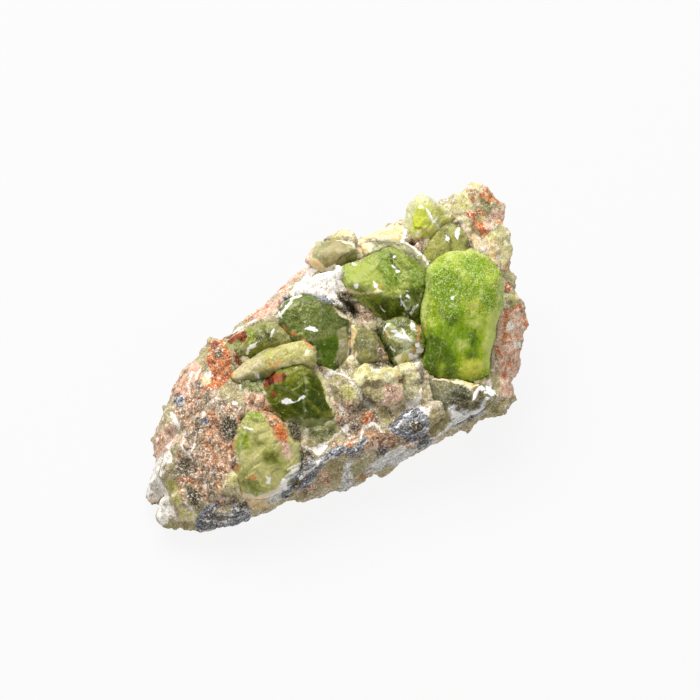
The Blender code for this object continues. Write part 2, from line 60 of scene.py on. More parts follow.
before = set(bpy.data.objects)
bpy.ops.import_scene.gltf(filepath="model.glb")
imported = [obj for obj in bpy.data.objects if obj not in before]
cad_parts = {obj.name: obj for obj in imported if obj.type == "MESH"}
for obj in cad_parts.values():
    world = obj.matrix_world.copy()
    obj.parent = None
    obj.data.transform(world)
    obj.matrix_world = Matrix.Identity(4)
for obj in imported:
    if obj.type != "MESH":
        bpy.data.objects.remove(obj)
CAD_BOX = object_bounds()

MM = 0.001
PICTURE_SIZE = 700
CAMERA_BEARING = math.radians(-35)
CAMERA_ELEVATION = math.radians(48)
LOOK_AT = Vector((2.4, 2.3, 10.0)) * MM

# Seed of the noise that bends grains, facets and fibres.
NOISE_SEED = 5

# The blue-grey vein's fibres run along the front, rising a little to the right.
FIBRE_TURN = (0.0, math.radians(-12), math.radians(-9))
FIBRE_SIZE = (5.0 * MM, 0.45 * MM, 0.45 * MM)

# Patches on the stone, outlined as they are seen: right, down, right, down ... in pixels of the picture.
# A later kind lies over an earlier one.
PATCHES = {
    "olive": [
        (331, 378, 345, 376, 353, 382, 358, 389, 361, 402, 350, 405, 341, 401, 335, 390),
        (360, 384, 370, 379, 381, 379, 389, 384, 391, 392, 384, 398, 376, 401, 368, 401, 362, 392),
        (326, 462, 337, 458, 346, 462, 345, 472, 341, 481, 331, 481, 327, 472),
        (375, 410, 389, 410, 393, 418, 388, 427, 380, 424, 373, 416),
        (490, 372, 497, 374, 501, 384, 500, 394, 494, 393, 489, 386),
        (498, 400, 509, 396, 505, 409, 500, 421, 495, 426, 486, 426, 479, 422, 484, 415, 490, 413, 495, 407),
        (521, 338, 525, 342, 530, 348, 531, 354, 529, 359, 523, 362, 520, 356, 519, 348),
        (282, 420, 300, 417, 320, 418, 333, 420, 346, 430, 341, 441, 328, 447, 317, 443, 307, 439, 299, 432, 289, 431),
        (310, 255, 318, 243, 330, 239, 352, 247, 357, 256, 345, 263, 328, 269, 319, 262),
        (196, 372, 198, 358, 203, 350, 209, 343, 210, 352, 205, 362, 205, 374, 199, 376),
        (160, 527, 168, 520, 178, 521, 190, 524, 200, 524, 197, 531, 185, 536, 172, 535, 161, 531),
        (222, 382, 232, 377, 241, 380, 241, 391, 238, 397, 229, 398, 221, 391),
        (161, 405, 165, 396, 169, 401, 168, 409, 163, 410),
        (462, 374, 455, 377, 458, 374, 461, 372, 465, 378, 462, 382, 456, 382),
        (231, 330, 244, 322, 253, 318, 249, 325, 240, 330),
        (418, 384, 421, 384, 421, 398, 417, 396),
        (432, 412, 450, 410, 450, 420, 444, 430, 432, 436, 428, 424),
    ],
    "smoke": [
        (311, 251, 318, 243, 330, 239, 333, 247, 322, 250, 320, 259, 312, 258),
        (485, 403, 492, 398, 497, 403, 496, 411, 489, 414, 484, 409),
        (480, 201, 485, 198, 491, 202, 493, 207, 491, 214, 488, 219, 484, 212, 481, 207),
        (491, 222, 495, 220, 499, 222, 497, 227, 492, 227),
        (509, 300, 518, 299, 516, 306, 512, 313, 509, 309),
        (402, 382, 412, 382, 418, 388, 419, 396, 410, 400, 403, 396, 401, 388),
        (345, 247, 358, 251, 367, 256, 360, 263, 351, 261, 344, 258),
        (243, 380, 256, 374, 266, 371, 264, 380, 260, 389, 250, 393, 243, 391),
        (350, 462, 365, 459, 375, 463, 374, 471, 368, 478, 356, 481, 347, 477, 345, 470),
        (337, 330, 345, 328, 349, 340, 349, 360, 346, 371, 338, 371, 336, 358, 339, 345),
        (188, 412, 196, 412, 200, 420, 198, 432, 191, 430, 186, 420),
        (168, 448, 176, 444, 186, 440, 188, 452, 182, 462, 172, 462),
    ],
    "green": [
        (163, 483, 170, 478, 177, 480, 181, 490, 183, 500, 178, 507, 172, 501, 166, 492),
        (331, 236, 335, 230, 342, 226, 350, 225, 346, 232, 340, 238, 333, 239),
        (475, 215, 483, 216, 487, 222, 480, 221, 476, 219),
        (345, 384, 353, 386, 357, 395, 351, 401, 344, 396, 341, 390),
    ],
    "moss": [
        (240, 380, 250, 375, 262, 372, 272, 374, 268, 382, 262, 390, 266, 398, 256, 396, 246, 390, 240, 390),
        (284, 419, 300, 417, 320, 418, 333, 420, 340, 428, 328, 440, 317, 438, 307, 434, 299, 430, 289, 429),
        (213, 351, 220, 349, 223, 354, 220, 359, 214, 358),
    ],
    "yellow": [
        (456, 190, 466, 190, 470, 203, 480, 209, 474, 212, 466, 212, 460, 213, 455, 205, 454, 195),
        (489, 233, 495, 229, 502, 226, 509, 228, 512, 235, 511, 246, 512, 254, 514, 264, 514, 275, 515, 286, 509, 284,
         505, 278, 502, 270, 500, 262, 500, 250, 497, 243, 492, 241, 486, 242, 483, 236),
        (460, 213, 467, 217, 472, 228, 476, 236, 470, 236, 464, 228, 459, 220),
        (490, 242, 496, 246, 497, 257, 490, 255),
        (354, 377, 358, 368, 365, 363, 371, 366, 380, 368, 392, 366, 399, 369, 400, 378, 396, 385, 388, 382, 378, 379,
         368, 381, 360, 385),
        (399, 361, 410, 361, 417, 367, 419, 375, 415, 383, 404, 383, 399, 376),
        (316, 368, 322, 374, 326, 384, 329, 395, 331, 405, 336, 417, 331, 415, 326, 405, 322, 392, 319, 382, 315, 372),
        (502, 290, 509, 293, 517, 289, 520, 294, 519, 300, 508, 301, 502, 300),
        (448, 204, 456, 206, 461, 213, 460, 221, 452, 222, 444, 216),
        (176, 505, 186, 511, 196, 512, 201, 518, 190, 522, 181, 519),
        (394, 356, 404, 352, 411, 356, 414, 362, 404, 364, 397, 362),
        (224, 473, 230, 470, 237, 473, 237, 483, 231, 488, 225, 483),
        (421, 376, 430, 379, 442, 381, 452, 384, 462, 386, 470, 388, 476, 384, 485, 381, 490, 376, 488, 371, 480, 377,
         470, 379, 462, 378, 456, 380, 448, 381, 438, 379, 428, 376),
        (336, 228, 350, 226, 356, 229, 358, 240, 350, 238, 342, 235),
    ],
    "cream": [
        (467, 188, 471, 184, 476, 181, 482, 182, 487, 187, 490, 194, 484, 194, 478, 190, 473, 189),
        (472, 192, 477, 193, 481, 200, 482, 207, 477, 205, 474, 198),
        (500, 203, 505, 205, 509, 212, 509, 222, 510, 231, 503, 227, 499, 219),
        (479, 239, 486, 237, 494, 241, 500, 247, 500, 262, 497, 269, 490, 264, 484, 258, 480, 250, 476, 244),
        (461, 224, 468, 225, 474, 232, 479, 238, 483, 248, 485, 259, 478, 253, 470, 251, 473, 240, 466, 237),
        (359, 232, 372, 231, 380, 228, 390, 225, 401, 223, 404, 235, 401, 241, 388, 241, 376, 239, 364, 239),
        (354, 240, 366, 240, 373, 246, 371, 252, 362, 257, 357, 248),
        (310, 258, 320, 261, 325, 269, 316, 272, 309, 271),
        (334, 308, 342, 312, 352, 318, 352, 322, 346, 320, 338, 314),
        (349, 325, 355, 324, 357, 332, 355, 345, 353, 358, 350, 370, 347, 364, 348, 345),
        (355, 300, 360, 303, 360, 311, 356, 312),
        (300, 431, 308, 430, 308, 438, 303, 443, 299, 438),
        (202, 377, 210, 373, 217, 374, 215, 383, 207, 387, 201, 385),
        (343, 402, 353, 405, 359, 409, 363, 418, 356, 421, 349, 416, 343, 409),
        (390, 392, 398, 391, 402, 398, 396, 404, 390, 404),
        (421, 388, 424, 390, 424, 398, 420, 401),
        (211, 479, 222, 478, 225, 489, 217, 495, 210, 489),
        (240, 491, 256, 495, 270, 491, 280, 483, 285, 488, 281, 500, 268, 509, 254, 511, 245, 505),
        (147, 497, 152, 496, 157, 492, 156, 500, 151, 506, 147, 502),
        (180, 364, 188, 362, 180, 372, 175, 382, 171, 386, 173, 376),
        (511, 330, 524, 331, 525, 341, 519, 339, 512, 337),
        (396, 450, 410, 444, 418, 441, 414, 450, 402, 457, 394, 458),
    ],
    "pink": [
        (500, 310, 504, 305, 509, 312, 517, 305, 523, 308, 527, 318, 529, 330, 530, 342, 521, 338, 519, 348, 521, 358,
         522, 364, 520, 373, 515, 384, 507, 389, 500, 393, 500, 372, 497, 352, 493, 345, 498, 332, 499, 320),
        (484, 219, 489, 218, 492, 212, 496, 209, 502, 211, 508, 213, 509, 220, 503, 221, 498, 219, 494, 222, 492, 227,
         489, 232, 485, 230, 484, 225),
        (250, 319, 256, 310, 266, 304, 276, 299, 284, 295, 283, 305, 277, 310, 270, 315, 262, 319, 254, 321),
        (167, 390, 172, 380, 180, 371, 188, 365, 197, 361, 202, 366, 201, 380, 197, 394, 201, 400, 206, 405, 198, 410,
         188, 404, 180, 396, 173, 397),
        (276, 301, 280, 290, 290, 277, 300, 267, 305, 257, 310, 249, 313, 252, 311, 262, 309, 270, 300, 276, 292, 283,
         287, 292, 283, 297),
        (158, 442, 167, 424, 177, 428, 176, 441, 168, 456, 158, 460),
        (184, 428, 192, 428, 192, 440, 186, 452, 180, 448, 180, 436),
        (384, 385, 393, 384, 402, 388, 403, 397, 396, 403, 390, 402, 384, 407, 378, 405, 386, 396),
        (245, 391, 256, 393, 266, 395, 270, 404, 261, 409, 250, 413, 245, 404),
        (186, 404, 196, 404, 205, 398, 212, 390, 216, 394, 208, 404, 200, 412, 190, 414),
        (280, 439, 290, 446, 291, 461, 285, 459, 281, 448),
        (500, 380, 515, 384, 513, 396, 505, 398, 500, 394),
        (153, 450, 155, 438, 161, 428, 164, 432, 160, 450, 156, 458),
    ],
    "teal": [
        (484, 400, 487, 397, 491, 399, 486, 402, 484, 408, 483, 414, 478, 417, 475, 410, 479, 404),
        (449, 408, 456, 404, 461, 406, 464, 410, 470, 411, 478, 407, 479, 413, 473, 418, 466, 422, 461, 425, 454, 427,
         448, 428, 443, 434, 440, 434, 446, 426, 451, 420),
        (380, 456, 395, 451, 410, 445, 418, 441, 430, 437, 437, 436, 433, 445, 420, 450, 410, 457, 400, 463, 385, 469,
         371, 474, 364, 473, 372, 463),
        (345, 462, 352, 460, 350, 472, 356, 482, 348, 489, 338, 490, 343, 478),
        (184, 412, 190, 412, 194, 424, 190, 432, 184, 424),
        (268, 497, 276, 491, 284, 486, 291, 487, 288, 497, 280, 502, 269, 504),
    ],
    "blue": [
        (286, 484, 291, 477, 296, 471, 300, 467, 300, 458, 305, 455, 310, 458, 316, 460, 322, 455, 330, 450, 338, 446,
         345, 446, 344, 453, 336, 458, 328, 461, 322, 467, 318, 473, 315, 479, 310, 485, 304, 489, 298, 491, 291, 488),
        (345, 446, 350, 448, 358, 445, 360, 439, 363, 435, 367, 439, 363, 448, 358, 456, 352, 458, 346, 456),
        (375, 450, 382, 446, 389, 447, 387, 454, 377, 456),
        (387, 427, 396, 419, 403, 412, 408, 407, 418, 407, 426, 411, 431, 418, 430, 428, 425, 437, 416, 441, 408, 441,
         399, 436, 392, 431),
        (195, 527, 197, 516, 203, 507, 210, 503, 217, 504, 219, 509, 214, 511, 222, 514, 232, 512, 231, 506, 238, 501,
         245, 501, 249, 508, 251, 514, 247, 521, 238, 527, 230, 532, 222, 530, 214, 528, 206, 530, 198, 531),
        (417, 442, 430, 438, 434, 440, 428, 446, 418, 450),
        (175, 397, 178, 392, 182, 395, 185, 400, 184, 406, 180, 409, 177, 404, 174, 402),
        (295, 291, 299, 289, 302, 286, 306, 289, 304, 294, 298, 294),
        (300, 281, 303, 275, 306, 279, 303, 285),
        (309, 287, 316, 286, 322, 287, 321, 290, 316, 292, 312, 290),
        (314, 294, 320, 296, 326, 297, 331, 299, 336, 302, 331, 304, 325, 302, 319, 300, 315, 297),
        (280, 304, 284, 299, 288, 297, 286, 302, 282, 306),
        (249, 318, 254, 315, 255, 319, 250, 321),
        (201, 419, 205, 416, 208, 420, 204, 427, 201, 426),
        (352, 426, 356, 425, 356, 429, 352, 429),
        (211, 470, 215, 469, 216, 475, 212, 476),
        (281, 489, 292, 488, 290, 497, 282, 499),
    ],
    "brown": [
        (410, 240, 418, 238, 426, 236, 426, 241, 422, 248, 421, 254, 414, 249, 408, 243),
        (356, 302, 362, 304, 368, 307, 371, 313, 372, 319, 366, 322, 357, 320),
        (362, 432, 372, 428, 380, 431, 392, 433, 399, 438, 397, 445, 386, 449, 376, 449, 368, 453, 361, 449),
        (394, 430, 408, 433, 415, 438, 405, 445, 395, 441),
        (208, 501, 222, 494, 233, 495, 241, 500, 232, 506, 222, 509, 213, 504),
        (376, 340, 382, 349, 389, 358, 380, 361, 376, 352),
        (492, 362, 495, 354, 500, 358, 498, 367, 493, 371),
        (222, 525, 232, 521, 237, 526, 230, 531, 222, 530),
        (172, 404, 190, 396, 206, 394, 224, 398, 243, 410, 236, 432, 236, 450, 240, 468, 226, 477, 214, 498, 200, 500,
         197, 480, 178, 474, 174, 458, 184, 442, 180, 424),
        (300, 488, 312, 484, 321, 486, 316, 493, 303, 495),
        (334, 404, 346, 400, 362, 408, 376, 412, 382, 424, 364, 430, 350, 436, 338, 428),
        (346, 430, 362, 426, 364, 434, 356, 446, 344, 444),
        (404, 442, 416, 438, 418, 444, 408, 449),
    ],
    "ember": [
        (261, 401, 270, 405, 276, 413, 281, 420, 287, 428, 290, 436, 286, 446, 278, 444, 272, 430, 264, 418, 258, 410),
        (200, 414, 214, 410, 222, 420, 222, 436, 232, 446, 234, 462, 226, 474, 212, 480, 206, 466, 198, 456, 202, 436),
        (225, 403, 231, 406, 231, 411, 226, 411),
        (236, 417, 241, 419, 240, 425, 236, 425),
        (176, 479, 186, 474, 197, 478, 202, 487, 208, 492, 200, 496, 188, 486, 183, 482, 184, 492, 186, 502, 182, 504,
         179, 490),
        (318, 473, 326, 471, 331, 478, 327, 486, 319, 482),
        (244, 394, 254, 394, 262, 400, 258, 408, 250, 410, 246, 404),
        (183, 381, 192, 374, 194, 386, 192, 398, 200, 404, 194, 410, 186, 398),
        (169, 390, 172, 381, 182, 371, 190, 366, 184, 376, 178, 386, 175, 396),
        (362, 432, 372, 429, 380, 432, 392, 434, 399, 438, 396, 444, 386, 448, 376, 448, 368, 452, 362, 448),
        (395, 431, 408, 434, 414, 438, 405, 444, 396, 441),
        (154, 448, 158, 436, 164, 430, 166, 440, 160, 452),
        (404, 443, 415, 438, 417, 444, 408, 448),
        (330, 441, 338, 440, 342, 446, 336, 450),
        (384, 386, 392, 385, 398, 388, 394, 392, 387, 394),
    ],
    "rust": [
        (467, 188, 471, 188, 474, 192, 479, 196, 478, 198, 473, 195, 469, 192),
        (480, 193, 484, 192, 488, 195, 492, 198, 497, 199, 500, 203, 501, 208, 498, 207, 496, 202, 490, 202, 484, 199,
         478, 197),
        (483, 186, 487, 188, 491, 191, 494, 196, 490, 196, 486, 191),
        (469, 197, 472, 198, 475, 202, 475, 204, 472, 203, 469, 200),
        (465, 214, 469, 211, 474, 211, 477, 210, 481, 210, 484, 213, 488, 214, 487, 217, 482, 216, 478, 214, 475, 215,
         476, 219, 475, 221, 471, 219, 468, 217),
        (472, 221, 476, 222, 479, 220, 483, 222, 485, 225, 486, 229, 490, 231, 487, 234, 483, 237, 480, 238, 478, 236,
         479, 232, 476, 229, 473, 225),
        (499, 220, 503, 222, 500, 225, 497, 222),
        (508, 253, 511, 258, 513, 263, 512, 267, 507, 267, 504, 265, 510, 264, 509, 259),
        (503, 268, 507, 270, 505, 273, 502, 271),
        (504, 280, 508, 282, 509, 286, 511, 283, 512, 289, 509, 292, 506, 288),
        (516, 283, 519, 286, 518, 290, 515, 286),
        (517, 304, 521, 303, 522, 307, 518, 307, 514, 310, 511, 314, 509, 311, 512, 308),
        (503, 306, 505, 307, 508, 313, 509, 320, 506, 325, 505, 318, 502, 312),
        (521, 308, 523, 311, 526, 319, 529, 326, 528, 331, 526, 329, 524, 318),
        (505, 315, 508, 318, 507, 325, 506, 332, 507, 338, 505, 346, 502, 344, 504, 332, 503, 325),
        (510, 334, 512, 338, 510, 347, 508, 342),
        (525, 332, 528, 333, 529, 339, 525, 339),
        (516, 334, 519, 337, 520, 341, 517, 340),
        (518, 346, 522, 349, 517, 351),
        (494, 345, 499, 346, 500, 352, 503, 355, 502, 360, 498, 356, 494, 350),
        (505, 349, 508, 352, 505, 356),
        (512, 350, 516, 350, 514, 355),
        (509, 356, 511, 359, 512, 368, 508, 366),
        (503, 360, 505, 364, 508, 368, 504, 371),
        (502, 371, 505, 371, 509, 379, 505, 380, 502, 375),
        (512, 366, 515, 368, 512, 372),
        (279, 289, 284, 283, 286, 287, 281, 291),
        (206, 359, 210, 351, 209, 343, 214, 339, 220, 340, 224, 338, 228, 350, 231, 360, 230, 368, 224, 371, 217, 373,
         211, 371, 207, 366),
        (207, 373, 216, 371, 224, 372, 231, 370, 234, 375, 229, 380, 222, 385, 214, 389, 205, 392, 200, 394, 203, 387,
         212, 382),
        (274, 426, 281, 424, 286, 431, 287, 439, 282, 442, 276, 436),
        (364, 415, 369, 411, 374, 416, 372, 422, 364, 425, 360, 421),
        (346, 444, 350, 442, 352, 449, 348, 449),
        (151, 462, 156, 463, 153, 468),
        (252, 473, 258, 477, 254, 480),
        (268, 361, 272, 364, 271, 367, 268, 364),
        (273, 365, 278, 361, 282, 359, 277, 365, 274, 368),
        (237, 466, 241, 467, 240, 471, 236, 470),
    ],
    "maroon": [
        (225, 339, 229, 336, 236, 333, 243, 330, 246, 331, 247, 337, 246, 341, 243, 342, 240, 340, 236, 342, 232, 344,
         228, 343),
        (232, 351, 235, 351, 237, 356, 239, 360, 243, 363, 240, 366, 236, 366, 233, 361, 231, 356),
        (265, 378, 270, 374, 274, 372, 278, 376, 284, 374, 288, 378, 283, 383, 277, 384, 270, 386, 264, 389, 262, 386,
         268, 381),
        (272, 390, 276, 392, 275, 396, 272, 396),
        (504, 288, 507, 286, 508, 290, 510, 293, 505, 293),
        (211, 342, 216, 341, 219, 346, 215, 349, 211, 347),
        (314, 360, 318, 364, 323, 371, 325, 375, 320, 372, 316, 366),
    ],
    "white": [
        (204, 373, 210, 371, 214, 375, 208, 380),
        (303, 275, 308, 270, 316, 272, 325, 267, 333, 265, 342, 265, 343, 273, 341, 280, 343, 287, 346, 291, 340, 291,
         335, 292, 337, 297, 344, 299, 345, 305, 339, 306, 333, 303, 326, 297, 318, 294, 308, 296, 300, 295, 293, 296,
         289, 292, 296, 283),
        (473, 394, 477, 389, 482, 386, 484, 390, 479, 393, 476, 399, 472, 401),
        (484, 384, 489, 380, 491, 387, 494, 391, 496, 395, 491, 397, 487, 392),
        (452, 410, 458, 411, 462, 414, 458, 418, 452, 417), (446, 424, 452, 421, 450, 427, 444, 432),
        (405, 406, 410, 401, 418, 397, 421, 403, 421, 407, 428, 408, 431, 413, 425, 415, 420, 409, 412, 408, 407, 410),
        (362, 398, 367, 400, 372, 403, 372, 409, 366, 408, 362, 403),
        (342, 427, 346, 424, 349, 429, 347, 435, 343, 432),
        (317, 446, 322, 442, 329, 440, 327, 447, 322, 452, 318, 456, 312, 451, 303, 449, 310, 448),
        (277, 485, 284, 478, 291, 470, 297, 466, 299, 470, 292, 477, 287, 484, 284, 488),
        (145, 498, 146, 485, 149, 472, 154, 464, 160, 456, 166, 451, 173, 454, 171, 462, 164, 466, 162, 475, 160, 483,
         165, 490, 169, 500, 173, 510, 177, 518, 170, 516, 168, 523, 162, 527, 155, 520, 152, 510, 156, 503, 149, 498,
         154, 493),
        (170, 411, 177, 417, 181, 425, 179, 432, 175, 423, 170, 417),
        (508, 321, 513, 321, 515, 327, 512, 331, 507, 331, 506, 325),
        (514, 341, 521, 343, 521, 348, 514, 349),
        (224, 333, 240, 328, 252, 321, 263, 320, 250, 326, 240, 332, 230, 335),
        (402, 231, 404, 232, 405, 244, 401, 243),
        (285, 420, 289, 420, 288, 425, 285, 424),
        (266, 476, 271, 478, 270, 484, 266, 482),
        (202, 411, 206, 412, 205, 417, 201, 415),
        (202, 484, 206, 483, 206, 491, 203, 490),
        (233, 401, 237, 403, 236, 406, 232, 405),
        (407, 354, 412, 352, 418, 356, 417, 360, 410, 359),
        (414, 358, 420, 362, 418, 368, 414, 364),
        (368, 366, 374, 368, 380, 368, 378, 371, 371, 370),
        (415, 347, 419, 346, 423, 348, 420, 352, 415, 352),
        (336, 402, 341, 404, 344, 409, 348, 411, 342, 411),
        (253, 371, 258, 372, 260, 378, 256, 377),
        (276, 313, 281, 311, 282, 318, 277, 316),
    ],
    # Painted shade: the insides of hollows and crevices, and the gaps under ledges and between crystals.
    "dark": [
        (213, 351, 220, 349, 223, 354, 220, 359, 214, 358),
        (335, 292, 340, 291, 346, 292, 350, 296, 351, 300, 355, 301, 356, 310, 357, 320, 351, 320, 350, 312, 347, 305,
         345, 300, 340, 298, 336, 296),
        (331, 304, 338, 306, 345, 308, 351, 314, 351, 317, 343, 314, 336, 310),
        (368, 306, 373, 311, 379, 318, 375, 322, 371, 317),
        (370, 361, 380, 360, 394, 360, 394, 365, 385, 367, 375, 368, 369, 366),
        (222, 420, 228, 415, 234, 417, 236, 426, 235, 434, 231, 441, 226, 439, 221, 430),
        (186, 487, 193, 486, 200, 492, 200, 500, 200, 509, 195, 509, 190, 503, 187, 496),
        (456, 406, 460, 403, 464, 408, 459, 412, 455, 410),
        (462, 400, 472, 399, 469, 404, 471, 407, 465, 409, 461, 404),
        (474, 402, 480, 402, 478, 408, 474, 406),
        (465, 419, 471, 415, 476, 415, 471, 420, 466, 422),
        (478, 392, 483, 392, 485, 398, 480, 401, 477, 396),
        (288, 424, 298, 425, 301, 434, 301, 442, 293, 442, 288, 432),
        (299, 450, 308, 450, 316, 455, 315, 460, 308, 457, 300, 457),
        (179, 461, 186, 457, 192, 461, 189, 472, 182, 475, 177, 468),
        (195, 379, 198, 379, 201, 386, 201, 391, 197, 389),
        (300, 458, 306, 456, 309, 463, 303, 469),
        (289, 481, 296, 477, 301, 483, 296, 489),
        (376, 450, 383, 447, 388, 449, 385, 453, 378, 455),
        (360, 393, 363, 393, 366, 398, 363, 399),
        (162, 466, 167, 463, 166, 469, 161, 471),
        (163, 504, 167, 503, 166, 508),
        (195, 416, 200, 416, 200, 428, 197, 434, 194, 430),
        (408, 241, 412, 240, 414, 246, 410, 245),
        (467, 241, 471, 239, 471, 249, 467, 250),
        (384, 406, 390, 409, 392, 416, 388, 414),
        (410, 419, 420, 421, 424, 428, 416, 432, 409, 427),
        (209, 512, 219, 515, 228, 516, 228, 519, 216, 519, 208, 517),
        (236, 504, 243, 503, 247, 508, 240, 510),
        (458, 374, 462, 374, 464, 379, 459, 381),
        (205, 386, 209, 390, 212, 394, 207, 395),
    ],
}
